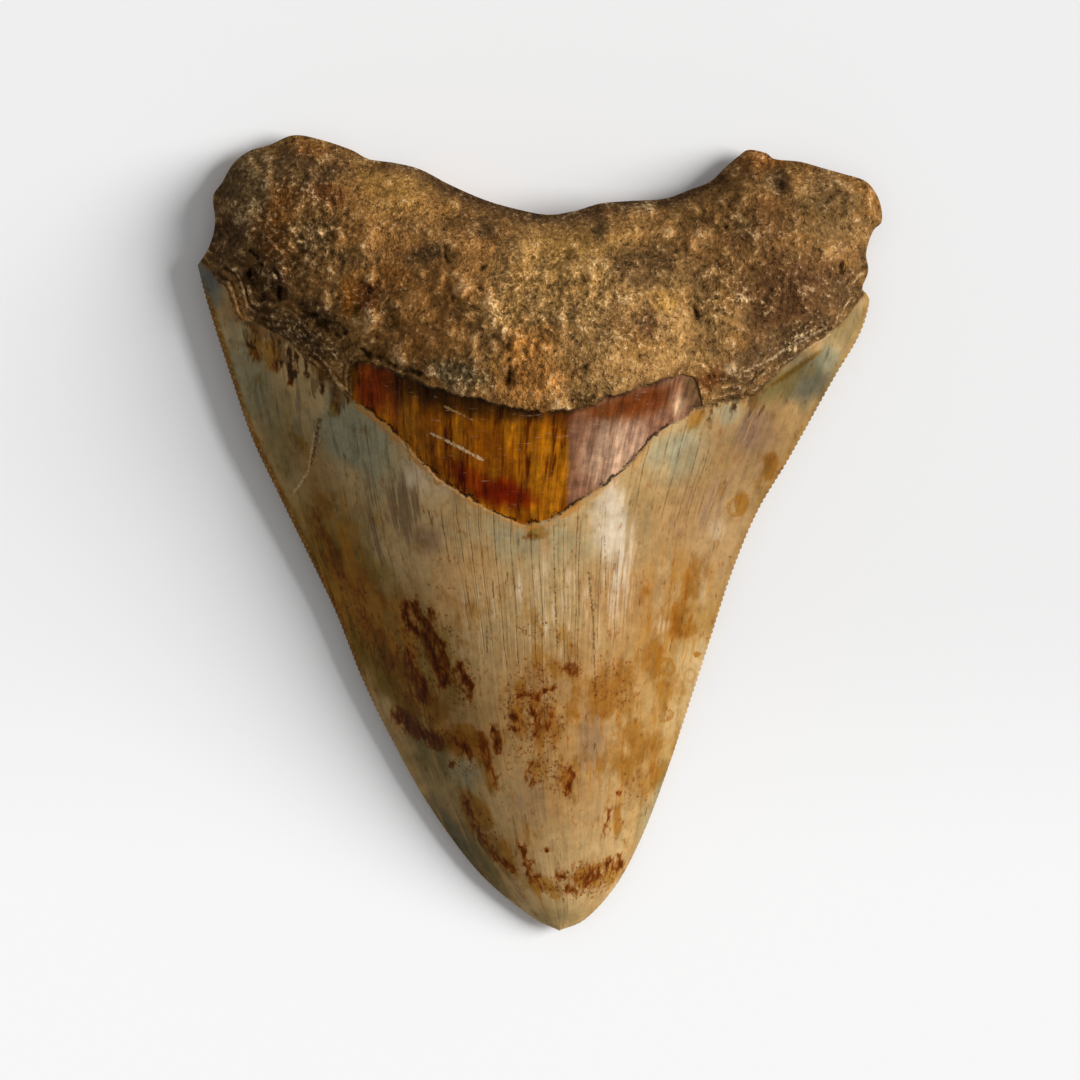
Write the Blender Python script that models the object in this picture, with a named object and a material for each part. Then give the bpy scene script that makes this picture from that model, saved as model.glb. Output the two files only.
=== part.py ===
"""A megalodon tooth, one solid, lying on its flat labial face with the lingual face up.

Blender 4.5: blender --background --python part.py
X runs across the tooth, +Y from the tip to the root, +Z up out of the lingual face. The origin is the
centre of the bounding box's bottom face. Sizes below are in millimetres, and the mesh is in metres.
"""

import bmesh
import bpy
import numpy as np
from mathutils import Vector, noise
from mathutils.geometry import delaunay_2d_cdt

MM = 0.001

# ---- driving dimensions, in millimetres ----

# The outline, anticlockwise from the left shoulder: both cutting edges, then the root's margin.
LEFT_EDGE = (
    (-51.4, 40.2), (-49.9, 34.5), (-46.9, 25.1), (-43.4, 14.8), (-39.7, 6.8), (-35.2, -2.4), (-30.7, -11.8),
    (-26.6, -22.1), (-22.3, -30.9), (-16.7, -40.9), (-9.2, -51.0), (-1.4, -57.6), (2.9, -59.8),
)
RIGHT_EDGE = (
    (2.9, -59.8), (7.0, -57.9), (11.8, -52.4), (15.8, -44.5), (19.3, -35.2), (22.6, -25.1), (25.6, -15.8),
    (28.6, -6.5), (32.5, 3.0), (37.3, 11.1), (43.9, 22.9), (47.8, 29.5), (49.4, 34.4), (49.0, 36.0),
)
ROOT_MARGIN = (
    (49.0, 36.0), (48.4, 36.8), (49.3, 39.4), (49.0, 42.1), (50.0, 45.3), (51.36, 46.9), (50.9, 50.1),
    (49.0, 52.8), (45.5, 54.0), (42.7, 54.8), (39.1, 55.8), (35.3, 56.2), (34.0, 57.1), (31.4, 57.6),
    (29.9, 56.7), (27.7, 54.8), (25.6, 52.8), (22.6, 51.6), (18.8, 50.2), (13.6, 49.8), (9.1, 49.4),
    (5.3, 48.3), (1.3, 47.7), (-2.9, 48.4), (-8.2, 49.9), (-13.4, 52.2), (-17.9, 54.6), (-21.7, 55.6),
    (-25.7, 56.2), (-28.4, 57.6), (-32.9, 59.1), (-37.0, 59.8), (-40.7, 58.3), (-43.7, 57.4), (-46.1, 55.5),
    (-47.8, 52.6), (-49.1, 50.5), (-48.8, 46.6), (-49.7, 43.0), (-51.4, 40.2),
)
# Where the enamel ends, from left to right, on the lingual face and on the labial face.
ENAMEL_BORDER = (
    (-52.4, 42.4), (-47.2, 36.6), (-45.2, 32.2), (-41.6, 30.9), (-38.2, 29.1), (-35.8, 26.8), (-32.6, 24.0),
    (-29.5, 21.0), (-25.3, 18.0), (-21.2, 14.4), (-17.9, 11.1), (-14.3, 7.5), (-10.3, 5.0), (-6.7, 3.1),
    (-2.0, 1.3), (2.8, 2.9), (6.4, 5.0), (9.7, 7.2), (13.7, 10.8), (17.0, 14.4), (20.9, 16.9),
    (23.9, 18.8), (27.4, 19.6), (30.8, 20.2), (33.4, 22.1), (36.1, 24.4), (39.1, 27.1), (42.8, 29.7),
    (46.1, 32.5), (48.7, 36.0), (50.5, 38.2),
)
LABIAL_BORDER = (
    (-52.4, 42.4), (-47.2, 37.2), (-38.9, 32.2), (-26.9, 28.5), (-13.4, 26.7), (0.8, 25.9), (15.1, 26.6),
    (27.1, 28.1), (37.6, 30.8), (45.1, 33.9), (50.5, 37.9),
)
# The root's lower lip over the bourlette, the bare chevron between the root and the enamel.
BOURLETTE_TOP = (
    (-28.1, 19.9), (-27.4, 25.3), (-22.7, 24.3), (-15.4, 21.3), (-9.5, 19.9), (-4.4, 18.4), (1.3, 18.0),
    (6.4, 18.4), (10.1, 19.9), (15.5, 21.8), (20.6, 23.4), (23.2, 24.0), (24.1, 19.3),
)

# The lower edge of the left lobe's main mass, which stands over a worn strip of root.
LEDGE = ((-46.5, 42.6), (-42.0, 39.6), (-38.0, 36.2), (-33.5, 33.0), (-29.0, 29.2), (-25.0, 26.4))

SERRATION_PITCH = 0.84
SERRATION_DEPTH = 0.36
SERRATION_FADE = 4.0  # the length over which the serrations die out towards the tip and the shoulders

TIP_Y = LEFT_EDGE[-1][1]
CROWN_BULGE = 21.0  # how far the lingual face of a very long crown would rise above its cutting edges
CROWN_BULGE_LENGTH = 38.0  # the distance from the tip over which the crown thickens
EDGE_HEIGHT_AT_TIP = 2.2
EDGE_HEIGHT_AT_SHOULDER = 4.6
NOTCH_RIM_HEIGHT = 7.5
ROOT_RIM_HEIGHT = 3.8
LOBE_RIM_HEIGHT = 3.0
ROOT_HEIGHT = 21.0
PROTUBERANCE = (1.0, 26.0, 8.0)  # x, y and the rise of the root's central bulge
PROTUBERANCE_SPREAD = (27.0, 17.0)
SWELL_LENGTH_AT_NOTCH = 8.5  # the depth from the outline over which the root thickens
SWELL_LENGTH_AT_LOBE = 17.0
LABIAL_RADIUS = 6.0
ROOT_STEP = 1.2  # the root's lip stands this far above the bourlette
ROOT_STEP_WIDTH = 4.0
ENAMEL_STEP = 0.4
LEDGE_DROP = 0.9
WORN_FLAT = 0.35  # how far the labial face would bulge below the surface that it rests on

# The root's relief: the size and height of its lumps, then x, y, radius and depth of each pit. The last
# entry stands up instead, as a knob.
LUMP_SIZES = ((8.0, 0.6), (3.6, 0.4))
PITS = (
    (-43.4, 38.7, 1.9, 1.0), (-38.2, 36.4, 2.2, 1.0), (-25.6, 27.4, 2.0, 0.9), (-4.9, 22.5, 1.4, 1.3),
    (23.0, 33.1, 1.5, 0.8), (8.6, 45.8, 1.7, 0.8), (45.1, 40.2, 1.6, 0.9), (29.3, 46.2, 2.2, 0.9),
    (36.1, 52.9, 2.0, 0.9), (31.6, 55.6, 2.0, -1.3),
)

# ---- mesh density, in millimetres ----

MARGIN_SPACING = 1.5
LINGUAL_SPACING = 1.95
LABIAL_SPACING = 2.9
BORDER_SPACING = 1.5
BORDER_HALF_WIDTH = 0.35
RIM_RINGS = (0.5, 1.7, 3.4)  # the rings of points inside the outline
SAMPLES_PER_SPAN = 24

ENAMEL = ("enamel", (0.52, 0.38, 0.21), 0.28)
BOURLETTE = ("bourlette", (0.30, 0.11, 0.015), 0.22)
ROOT = ("root", (0.25, 0.14, 0.055), 0.85)


# ---- curves ----

def smooth_curve(points, step):
    """Evenly spaced points on a Catmull-Rom curve through the given ones, both ends included."""
    p = np.array(points, float)
    p = np.vstack([2 * p[0] - p[1], p, 2 * p[-1] - p[-2]])
    t = np.linspace(0, 1, SAMPLES_PER_SPAN, endpoint=False)[:, None]
    spans = []
    for a, b, c, d in zip(p, p[1:], p[2:], p[3:]):
        spans.append(b + t * (c - a) / 2 + t * t * (a - 2.5 * b + 2 * c - d / 2) + t**3 * (1.5 * (b - c) + (d - a) / 2))
    line = np.vstack([*spans, p[-2]])
    along = np.concatenate([[0], np.cumsum(np.linalg.norm(np.diff(line, axis=0), axis=1))])
    count = max(2, round(along[-1] / step) + 1)
    stations = np.linspace(0, along[-1], count)
    return np.column_stack([np.interp(stations, along, line[:, axis]) for axis in (0, 1)])


def outward(line):
    """Unit normals on the right-hand side of a line, which is outside an anticlockwise outline."""
    run = np.gradient(line, axis=0)
    normal = np.column_stack([run[:, 1], -run[:, 0]])
    return normal / np.linalg.norm(normal, axis=1)[:, None]


def serrated(points):
    """A cutting edge with a point at each crest and each gullet of its serrations."""
    line = smooth_curve(points, SERRATION_PITCH / 2)
    along = np.arange(len(line)) * SERRATION_PITCH / 2
    fade = smoothstep(0, SERRATION_FADE, np.minimum(along, along[-1] - along))
    crest = np.where(np.arange(len(line)) % 2, 0.5, -0.5)
    return line + outward(line) * (crest * fade * SERRATION_DEPTH)[:, None], crest > 0


def smoothstep(low, high, value):
    t = np.clip((value - low) / (high - low), 0, 1)
    return t * t * (3 - 2 * t)


def mix(a, b, share):
    return a + (b - a) * share


LEFT_LINE = smooth_curve(LEFT_EDGE, 0.5)[::-1]
RIGHT_LINE = smooth_curve(RIGHT_EDGE, 0.5)
MARGIN_LINE = smooth_curve(ROOT_MARGIN, MARGIN_SPACING)
ENAMEL_LINE = smooth_curve(ENAMEL_BORDER, BORDER_SPACING)
LABIAL_LINE = smooth_curve(LABIAL_BORDER, BORDER_SPACING)
ROOT_LINE = smooth_curve(BOURLETTE_TOP, BORDER_SPACING)
LEDGE_LINE = smooth_curve(LEDGE, BORDER_SPACING)
PLAIN_OUTLINE = np.vstack([LEFT_LINE[::-1], RIGHT_LINE[1:], MARGIN_LINE[1:-1]])


def height_on(line, x):
    """The y of a left-to-right line at x."""
    return np.interp(x, line[:, 0], line[:, 1])


def above(line, x, y):
    """Roughly how far a point is above a left-to-right line, at right angles to it."""
    reach = 0.3
    slope = (height_on(line, x + reach) - height_on(line, x - reach)) / (2 * reach)
    return (y - height_on(line, x)) / np.sqrt(1 + slope**2)


def root_border(x):
    """The y of the root's lower margin on the lingual face, which leaves the enamel's at the bourlette."""
    enamel = height_on(ENAMEL_LINE, x)
    over = (x > ROOT_LINE[0, 0]) & (x < ROOT_LINE[-1, 0])
    return np.where(over, np.maximum(enamel, height_on(ROOT_LINE, x)), enamel)


def inside_depth(x, y):
    """The distance from each point to the outline."""
    start, end = PLAIN_OUTLINE, np.roll(PLAIN_OUTLINE, -1, axis=0)
    run = end - start
    p = np.column_stack([x, y])[:, None, :]
    share = np.clip(((p - start) * run).sum(2) / (run * run).sum(1), 0, 1)
    return np.linalg.norm(p - start - share[..., None] * run, axis=2).min(1)


def soft_depth(x, y):
    """A depth inside the outline that has no creases: close to the distance near a side, less farther in.

    It is the sum, over the outline's sides, of one over the distance to the fifth power, turned back into a
    distance.
    """
    sides = np.roll(PLAIN_OUTLINE, -1, axis=0) - PLAIN_OUTLINE
    length = np.linalg.norm(sides, axis=1)
    total = np.zeros(len(x))
    for (sx, sy), (rx, ry), side in zip(PLAIN_OUTLINE, sides / length[:, None], length):
        along = (x - sx) * rx + (y - sy) * ry
        off = np.maximum(abs((y - sy) * rx - (x - sx) * ry), 0.01)
        first = along / np.hypot(along, off)
        last = (along - side) / np.hypot(along - side, off)
        total += ((first - last) - (first**3 - last**3) / 3) / off**4
    return (0.75 * np.maximum(total, 1e-9)) ** -0.25


# ---- the two faces, as heights over the surface that the tooth rests on ----

def across(x, y):
    """Where a point lies between the cutting edges: -1 on the left one, 1 on the right one."""
    left = np.interp(y, LEFT_LINE[:, 1], LEFT_LINE[:, 0])
    right = np.interp(y, RIGHT_LINE[:, 1], RIGHT_LINE[:, 0])
    half = np.maximum((right - left) / 2, 0.05)
    return np.clip((x - (left + right) / 2) / half, -1, 1)


def edge_height(y):
    return mix(EDGE_HEIGHT_AT_TIP, EDGE_HEIGHT_AT_SHOULDER, smoothstep(TIP_Y, 30, y))


def root_share(x, y):
    """0 on the crown and 1 on the root, with a soft change over their border."""
    return smoothstep(-3, 8, y - height_on(ENAMEL_LINE, x))


def root_rim_height(x, y):
    rim = mix(NOTCH_RIM_HEIGHT, ROOT_RIM_HEIGHT, smoothstep(6, 28, abs(x)))
    return mix(rim, LOBE_RIM_HEIGHT, smoothstep(50, 57, y))


def rim_height(x, y):
    return mix(edge_height(y), root_rim_height(x, y), root_share(x, y))


def quarter_circle(share):
    return np.sqrt(1 - (1 - np.clip(share, 0, 1)) ** 2)


def root_lumps(x, y):
    """Uneven lumps, less the named pits."""
    rise = np.zeros(len(x))
    for size, height in LUMP_SIZES:
        rise += height * np.array([noise.noise(Vector((a / size, b / size, size))) for a, b in zip(x, y)])
    for px, py, radius, depth in PITS:
        rise -= depth * np.exp(-((x - px) ** 2 + (y - py) ** 2) / (radius / 1.5) ** 2)
    return rise


def ledge_share(x, y):
    """1 on the worn strip under the left lobe's ledge, and 0 elsewhere."""
    along = smoothstep(LEDGE_LINE[0, 0], LEDGE_LINE[0, 0] + 5, x) * smoothstep(0, 5, LEDGE_LINE[-1, 0] - x)
    return along * smoothstep(-BORDER_HALF_WIDTH, BORDER_HALF_WIDTH, -above(LEDGE_LINE, x, y))


def lingual_height(x, y):
    """The convex upper face: the crown's swell, the root's bulge, and the steps between their surfaces."""
    s = abs(across(x, y))
    bulge = CROWN_BULGE * (1 - np.exp(-(y - TIP_Y) / CROWN_BULGE_LENGTH))
    crown = edge_height(y) + bulge * (1 - s**2.2) ** 1.25
    px, py, rise = PROTUBERANCE
    sx, sy = PROTUBERANCE_SPREAD
    top = ROOT_HEIGHT + rise * np.exp(-(((x - px) / sx) ** 2) - ((y - py) / sy) ** 2)
    depth = soft_depth(x, y)
    rim = smoothstep(0, ROOT_STEP_WIDTH, depth)
    low = root_rim_height(x, y)
    swell_length = mix(SWELL_LENGTH_AT_NOTCH, SWELL_LENGTH_AT_LOBE, smoothstep(8, 36, abs(x)))
    root = low + (top - low) * (1 - np.exp(-depth / swell_length))
    form = mix(crown, root, root_share(x, y))
    on_root = (y > root_border(x)) * rim
    below_enamel_edge = smoothstep(0, 2 * BORDER_HALF_WIDTH, -above(ENAMEL_LINE, x, y))
    on_root *= ROOT_STEP + root_lumps(x, y) - LEDGE_DROP * ledge_share(x, y)
    return form + on_root + below_enamel_edge * ENAMEL_STEP * (1 - s**4)


def labial_height(x, y):
    """The lower face, worn flat where it rests: down the middle of the crown and under each root lobe."""
    s = abs(across(x, y))
    crown_floor = mix(1.4, -WORN_FLAT, smoothstep(TIP_Y, -30, y))
    crown = mix(edge_height(y), crown_floor, (1 - s**2.2) ** 0.9)
    root_floor = mix(1.2, -WORN_FLAT, smoothstep(10, 26, abs(x)))
    root = mix(root_rim_height(x, y), root_floor, quarter_circle(inside_depth(x, y) / LABIAL_RADIUS))
    share = smoothstep(-4, 8, y - height_on(LABIAL_LINE, x))
    return np.maximum(mix(crown, root, share), 0)


# ---- points and triangles ----

def outline():
    """The rim's points, anticlockwise, and a point just inside each serration's crest."""
    left, left_crests = serrated(LEFT_EDGE)
    right, right_crests = serrated(RIGHT_EDGE)
    rim = np.vstack([left, right[1:], MARGIN_LINE[1:-1]])
    backing = [line[crests] - outward(line)[crests] * RIM_RINGS[0]
               for line, crests in ((left, left_crests), (right, right_crests))]
    return rim, np.vstack(backing)


def honeycomb(spacing):
    """A field of points in even triangles over the whole tooth."""
    rows = np.arange(-60, 61, spacing * np.sqrt(3) / 2)
    columns = np.arange(-53, 53, spacing)
    return np.array([(x + spacing / 2 * (i % 2), y) for i, y in enumerate(rows) for x in columns])


def inside_outline(points):
    """True for each point within the plain outline, by counting crossings to its right."""
    start, end = PLAIN_OUTLINE, np.roll(PLAIN_OUTLINE, -1, axis=0)
    x, y = points[:, :1], points[:, 1:]
    spans = (start[:, 1] > y) != (end[:, 1] > y)
    drop = np.where(end[:, 1] == start[:, 1], 1, end[:, 1] - start[:, 1])
    crossing = start[:, 0] + (y - start[:, 1]) * (end[:, 0] - start[:, 0]) / drop
    return (spans & (x < crossing)).sum(1) % 2 == 1


def clear_of(points, others, gap):
    """The points that keep this gap to all of the others."""
    distance = np.linalg.norm(points[:, None, :] - others[None, :, :], axis=2).min(1)
    return points[distance > gap]


def rings(backing):
    """Points that follow the rim inside it, so that its rounding has even faces."""
    margin = MARGIN_LINE[2:-2]
    near, middle, deep = RIM_RINGS
    layers = [backing, margin - outward(margin) * near]
    for depth, spacing in ((middle, 1.6), (deep, 2.0)):
        line = np.vstack([smooth_curve(points, spacing)[1:-1] for points in (LEFT_EDGE, RIGHT_EDGE, ROOT_MARGIN)])
        layer = line - outward(line) * depth
        layer = layer[inside_outline(layer)]
        layers.append(layer[inside_depth(*layer.T) > 0.9 * depth])
    kept = np.vstack(layers[:2])
    for layer in layers[2:]:
        kept = np.vstack([kept, clear_of(layer, kept, 0.8)])
    return kept


def border_rows(line):
    """Two rows of points astride a border, which make its step a crisp one."""
    side = outward(line) * BORDER_HALF_WIDTH
    rows = np.vstack([line + side, line - side])
    rows = rows[inside_outline(rows)]
    return rows[inside_depth(*rows.T) > 1.0]


def face_points(spacing, ring_points, borders):
    """All points inside the rim on one face."""
    rows = np.vstack([border_rows(line) for line in borders])
    ring_points = clear_of(ring_points, rows, 0.7)
    fixed = np.vstack([rows, ring_points])
    field = honeycomb(spacing)
    field = field[inside_outline(field)]
    field = field[inside_depth(*field.T) > RIM_RINGS[2]]
    return np.vstack([fixed, clear_of(field, fixed, 0.62 * spacing)])


def triangles(rim, points):
    """Delaunay triangles, as indices into rim and then points, all inside the rim."""
    every = [Vector(p) for p in np.vstack([rim, points])]
    _, _, faces, sources, _, _ = delaunay_2d_cdt(every, [], [list(range(len(rim)))], 1, 1e-5)
    return [[sources[i][0] for i in face] for face in faces]


def add_face(bm, rim_verts, rim, points, height, upwards):
    """One face of the tooth: its points lifted to their height and joined to the shared rim."""
    heights = height(points[:, 0], points[:, 1])
    inner = [bm.verts.new((x * MM, y * MM, z * MM)) for (x, y), z in zip(points, heights)]
    verts = rim_verts + inner
    for corners in triangles(rim, points):
        order = corners if upwards else corners[::-1]
        bm.faces.new([verts[i] for i in order])


def material(name, colour, roughness):
    made = bpy.data.materials.new(name)
    made.use_nodes = True
    shader = made.node_tree.nodes["Principled BSDF"]
    shader.inputs["Base Color"].default_value = (*colour, 1)
    shader.inputs["Roughness"].default_value = roughness
    shader.inputs["Metallic"].default_value = 0
    return made


def surface_of(centre, up):
    """0 for enamel, 1 for the bourlette and 2 for the root, by where a face's centre is."""
    x, y = centre.x / MM, centre.y / MM
    enamel_line = ENAMEL_LINE if up else LABIAL_LINE
    if y < height_on(enamel_line, x):
        return 0
    return 1 if up and y < root_border(np.array(x)) else 2


def tooth():
    rim, backing = outline()
    ring_points = rings(backing)
    bm = bmesh.new()
    rim_z = rim_height(rim[:, 0], rim[:, 1])
    rim_verts = [bm.verts.new((x * MM, y * MM, z * MM)) for (x, y), z in zip(rim, rim_z)]
    lingual = face_points(LINGUAL_SPACING, ring_points, (ENAMEL_LINE, ROOT_LINE, LEDGE_LINE))
    labial = face_points(LABIAL_SPACING, ring_points, (LABIAL_LINE,))
    add_face(bm, rim_verts, rim, lingual, lingual_height, True)
    add_face(bm, rim_verts, rim, labial, labial_height, False)
    bm.normal_update()
    for face in bm.faces:
        face.material_index = surface_of(face.calc_center_median(), face.normal.z > 0)
        face.smooth = True
    mesh = bpy.data.meshes.new("tooth")
    bm.to_mesh(mesh)
    bm.free()
    for finish in (ENAMEL, BOURLETTE, ROOT):
        mesh.materials.append(material(*finish))
    bpy.context.scene.collection.objects.link(bpy.data.objects.new("tooth", mesh))


for old in list(bpy.data.objects):
    bpy.data.objects.remove(old)
tooth()
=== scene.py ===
"""The looks of a fossil megalodon tooth, for Blender 4.5 and Cycles.

The tooth lies on its flat labial face on a pale floor, with the lingual face up, and the camera looks
straight down on it. Shapes are worked out in millimetres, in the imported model's frame: X across the tooth,
+Y from the tip to the root, +Z up. The mesh is written in metres. Colours are sRGB, from 0 to 255.
"""

import math
from functools import cached_property

import bpy
import numpy as np
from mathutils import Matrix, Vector, kdtree, noise
from mathutils.geometry import delaunay_2d_cdt


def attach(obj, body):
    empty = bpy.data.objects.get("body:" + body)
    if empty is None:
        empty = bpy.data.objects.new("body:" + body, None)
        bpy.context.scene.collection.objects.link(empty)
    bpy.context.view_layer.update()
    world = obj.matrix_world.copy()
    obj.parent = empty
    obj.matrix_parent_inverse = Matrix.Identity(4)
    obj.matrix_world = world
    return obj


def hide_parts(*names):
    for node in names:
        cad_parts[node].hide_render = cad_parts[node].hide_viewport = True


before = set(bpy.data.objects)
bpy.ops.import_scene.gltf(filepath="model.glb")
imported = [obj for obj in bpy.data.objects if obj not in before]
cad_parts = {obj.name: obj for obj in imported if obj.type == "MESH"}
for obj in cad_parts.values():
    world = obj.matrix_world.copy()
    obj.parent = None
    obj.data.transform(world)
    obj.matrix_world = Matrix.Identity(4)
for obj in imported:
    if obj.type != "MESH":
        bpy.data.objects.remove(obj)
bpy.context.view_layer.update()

MM = 0.001

# ---- the form's driving sizes, in millimetres: the same as the solid's, apart from the serrations, ----
# ---- the root's ledge and the right end of the bourlette, which are finer here                   ----

LEFT_EDGE = (
    (-51.4, 40.2), (-49.9, 34.5), (-46.9, 25.1), (-43.4, 14.8), (-39.7, 6.8), (-35.2, -2.4), (-30.7, -11.8),
    (-26.6, -22.1), (-22.3, -30.9), (-16.7, -40.9), (-9.2, -51), (-1.4, -57.6), (2.9, -59.8),
)
RIGHT_EDGE = (
    (2.9, -59.8), (7, -57.9), (11.8, -52.4), (15.8, -44.5), (19.3, -35.2), (22.6, -25.1), (25.6, -15.8),
    (28.6, -6.5), (32.5, 3), (37.3, 11.1), (43.9, 22.9), (47.8, 29.5), (49.4, 34.4), (49, 36),
)
ROOT_MARGIN = (
    (49, 36), (48.4, 36.8), (49.3, 39.4), (49, 42.1), (50, 45.3), (51.36, 46.9), (50.9, 50.1), (49, 52.8),
    (45.5, 54), (42.7, 54.8), (39.1, 55.8), (35.3, 56.2), (34, 57.1), (31.4, 57.6), (29.9, 56.7),
    (27.7, 54.8), (25.6, 52.8), (22.6, 51.6), (18.8, 50.2), (13.6, 49.8), (9.1, 49.4), (5.3, 48.3),
    (1.3, 47.7), (-2.9, 48.4), (-8.2, 49.9), (-13.4, 52.2), (-17.9, 54.6), (-21.7, 55.6), (-25.7, 56.2),
    (-28.4, 57.6), (-32.9, 59.1), (-37, 59.8), (-40.7, 58.3), (-43.7, 57.4), (-46.1, 55.5), (-47.8, 52.6),
    (-49.1, 50.5), (-48.8, 46.6), (-49.7, 43), (-51.4, 40.2),
)
ENAMEL_BORDER = (
    (-52.4, 42.4), (-47.2, 36.6), (-45.2, 32.2), (-41.6, 30.9), (-38.2, 29.1), (-35.8, 26.8), (-32.6, 24),
    (-29.5, 21), (-25.3, 18), (-21.2, 14.4), (-17.9, 11.1), (-14.3, 7.5), (-10.3, 5), (-6.7, 3.1),
    (-2, 1.3), (2.8, 2.9), (6.4, 5), (9.7, 7.2), (13.7, 10.8), (17, 14.4), (20.9, 16.9), (23.9, 18.8),
    (27.4, 19.6), (30.8, 20.2), (33.4, 22.1), (36.1, 24.4), (39.1, 27.1), (42.8, 29.7), (46.1, 32.5),
    (48.7, 36), (50.5, 38.2),
)
LABIAL_BORDER = (
    (-52.4, 42.4), (-47.2, 37.2), (-38.9, 32.2), (-26.9, 28.5), (-13.4, 26.7), (0.8, 25.9), (15.1, 26.6),
    (27.1, 28.1), (37.6, 30.8), (45.1, 33.9), (50.5, 37.9),
)
BOURLETTE_TOP = (
    (-28.1, 19.9), (-27.4, 25.3), (-22.7, 24.3), (-15.4, 21.3), (-9.5, 19.9), (-4.4, 18.4), (1.3, 18),
    (6.4, 18.4), (10.1, 19.9), (15.5, 21.8), (20.6, 23.4), (22.6, 23.3), (23.6, 21.6), (24.1, 19.3),
)
LEDGE = ((-46.5, 42.6), (-42, 39.6), (-38, 36.2), (-33.5, 33), (-29, 29.2), (-25, 26.4))

SERRATION_PITCH = 0.84
SERRATION_DEPTH = 0.18
SERRATION_FADE = 4.0
WORN_BELOW = -24.0  # the serrations nearer the tip are worn away

TIP_Y = LEFT_EDGE[-1][1]
CROWN_MIDDLE = 3  # between the stained left side and the clean right one
CROWN_BULGE = 21.0
CROWN_BULGE_LENGTH = 38.0
CROWN_ROUNDNESS = 2.2  # a higher power makes the crown flatter in the middle
FAN_HALF_WIDTH = 27  # half of the crown's width where the growth lines are as far apart as they say
EDGE_HEIGHT_AT_TIP = 2.2
EDGE_HEIGHT_AT_SHOULDER = 4.6
NOTCH_RIM_HEIGHT = 7.5
ROOT_RIM_HEIGHT = 3.8
LOBE_RIM_HEIGHT = 3.0
ROOT_HEIGHT = 21.0
PROTUBERANCE = (1.0, 26.0, 8.0)
PROTUBERANCE_SPREAD = (27.0, 17.0)
SWELL_LENGTH_AT_NOTCH = 8.5
SWELL_LENGTH_AT_LOBE = 17.0
LABIAL_RADIUS = 6.0
ROOT_STEP = 1.2
ROOT_STEP_WIDTH = 4.0
ENAMEL_STEP = 0.4
LEDGE_DROP = 1.3
WORN_FLAT = 0.35

LUMP_SIZES = ((8, 0.6), (3.6, 0.4))
PITS = (
    (-43.4, 38.7, 1.9, 1), (-38.2, 36.4, 2.2, 1), (-25.6, 27.4, 2, 0.9), (-4.9, 22.5, 1.4, 1.3),
    (23, 33.1, 1.5, 0.8), (8.6, 45.8, 1.7, 0.8), (45.1, 40.2, 1.6, 0.9), (29.3, 46.2, 2.2, 0.9),
    (36.1, 52.9, 2, 0.9), (31.6, 55.6, 2, -1.3),
)

# ---- fine relief, in millimetres ----

GRAINS = ((4.6, 0.44), (2.2, 0.44), (1.0, 0.26))  # size and height of the root's rounded grains
STRAND_SPACING = 1.1
STRAND_HEIGHT = 0.34
# Each is x, y, length, width, turn in degrees, depth.
HOLES = (
    (-43.5, 38.7, 2, 0.6, 88, 0.8), (-41.4, 35.6, 1, 0.5, -40, 0.5), (-24.3, 40.4, 1.4, 0.8, 60, 0.3),
    (-8.6, 39.4, 1, 0.6, 60, 0.5), (23.2, 32.7, 1.8, 0.6, -80, 0.5), (27.8, 45.6, 1, 0.6, 80, 0.5),
    (45.1, 39.9, 2.2, 0.6, 84, 0.6), (8.4, 45.2, 2.8, 1.2, 80, 0.25), (35.8, 52.2, 2.2, 1.2, 100, 0.35),
    (-25.4, 36, 1.8, 0.7, 86, 0.3), (13.8, 44.8, 1, 0.5, 90, 0.3), (20.2, 42, 0.9, 0.6, 40, 0.3),
    (31.6, 39.4, 1, 0.6, 10, 0.3), (38, 44.2, 0.9, 0.5, 50, 0.3), (25, 23.4, 0.8, 0.6, 0, 0.5),
    (-33.4, 47.2, 1.1, 0.6, -40, 0.3), (4.2, 41.2, 0.9, 0.5, 20, 0.3),
)
# Each crevice of the root is its width, its depth and the points that it runs through.
CREVICES = (
    (0.5, 0.5, ((-34.7, 32.7), (-33.2, 32.5), (-31.5, 31.4), (-29.8, 31), (-28.1, 28.6), (-26.6, 27.8))),
    (0.6, 0.7, ((-26.6, 27.8), (-25.5, 26.5), (-23.4, 26.3), (-22.4, 25.4), (-20.2, 24.3), (-17.4, 23.6))),
    (0.4, 0.4, ((-33.6, 31.6), (-31.4, 30.4), (-30, 29.4))),
    (0.5, 0.7, ((-43.3, 42.3), (-42.4, 41.3), (-41.6, 40))),
    (0.5, 0.7, ((-40.3, 39.9), (-39.6, 39.2), (-39, 38.2), (-39, 35.2))),
    (0.4, 0.35, ((-25.2, 54.6), (-25.8, 53.4), (-27.2, 52), (-28.4, 49.9), (-29, 47.6))),
    (0.35, 0.4, ((-12.8, 47.2), (-11, 46.8), (-8.9, 47.2), (-6.6, 47.3))),
    (0.4, 0.45, ((-14.2, 42.4), (-14, 41.2), (-13.5, 39.9), (-12.6, 38.4))),
    (0.35, 0.4, ((-13, 38), (-11.6, 36.9), (-8.9, 36.2), (-7.4, 35))),
    (0.4, 0.6, ((-4.6, 25.6), (-4.5, 23.4), (-4.7, 21))),
    (0.35, 0.3, ((1.6, 22.6), (4.2, 23.6), (6.9, 24.8))),
    (0.3, 0.25, ((9.8, 26.4), (12.6, 27.6), (15.6, 28.8))),
    (0.3, 0.25, ((13.6, 25.5), (18.8, 28.2))),
    (0.35, 0.3, ((36, 26.9), (40.4, 29.6), (44.2, 32.6))),
    (0.35, 0.3, ((31, 25.4), (36.4, 28.6), (42.4, 33.4))),
    (0.35, 0.3, ((-33.8, 42.6), (-31, 41.8), (-29.2, 40.2))),
    (0.3, 0.3, ((-3.4, 41.4), (0.6, 40.6), (4.4, 41))),
)
ENAMEL_RIPPLES = ((0.9, 9.0, 0.020), (2.6, 16.0, 0.035))  # width, length and height

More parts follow.
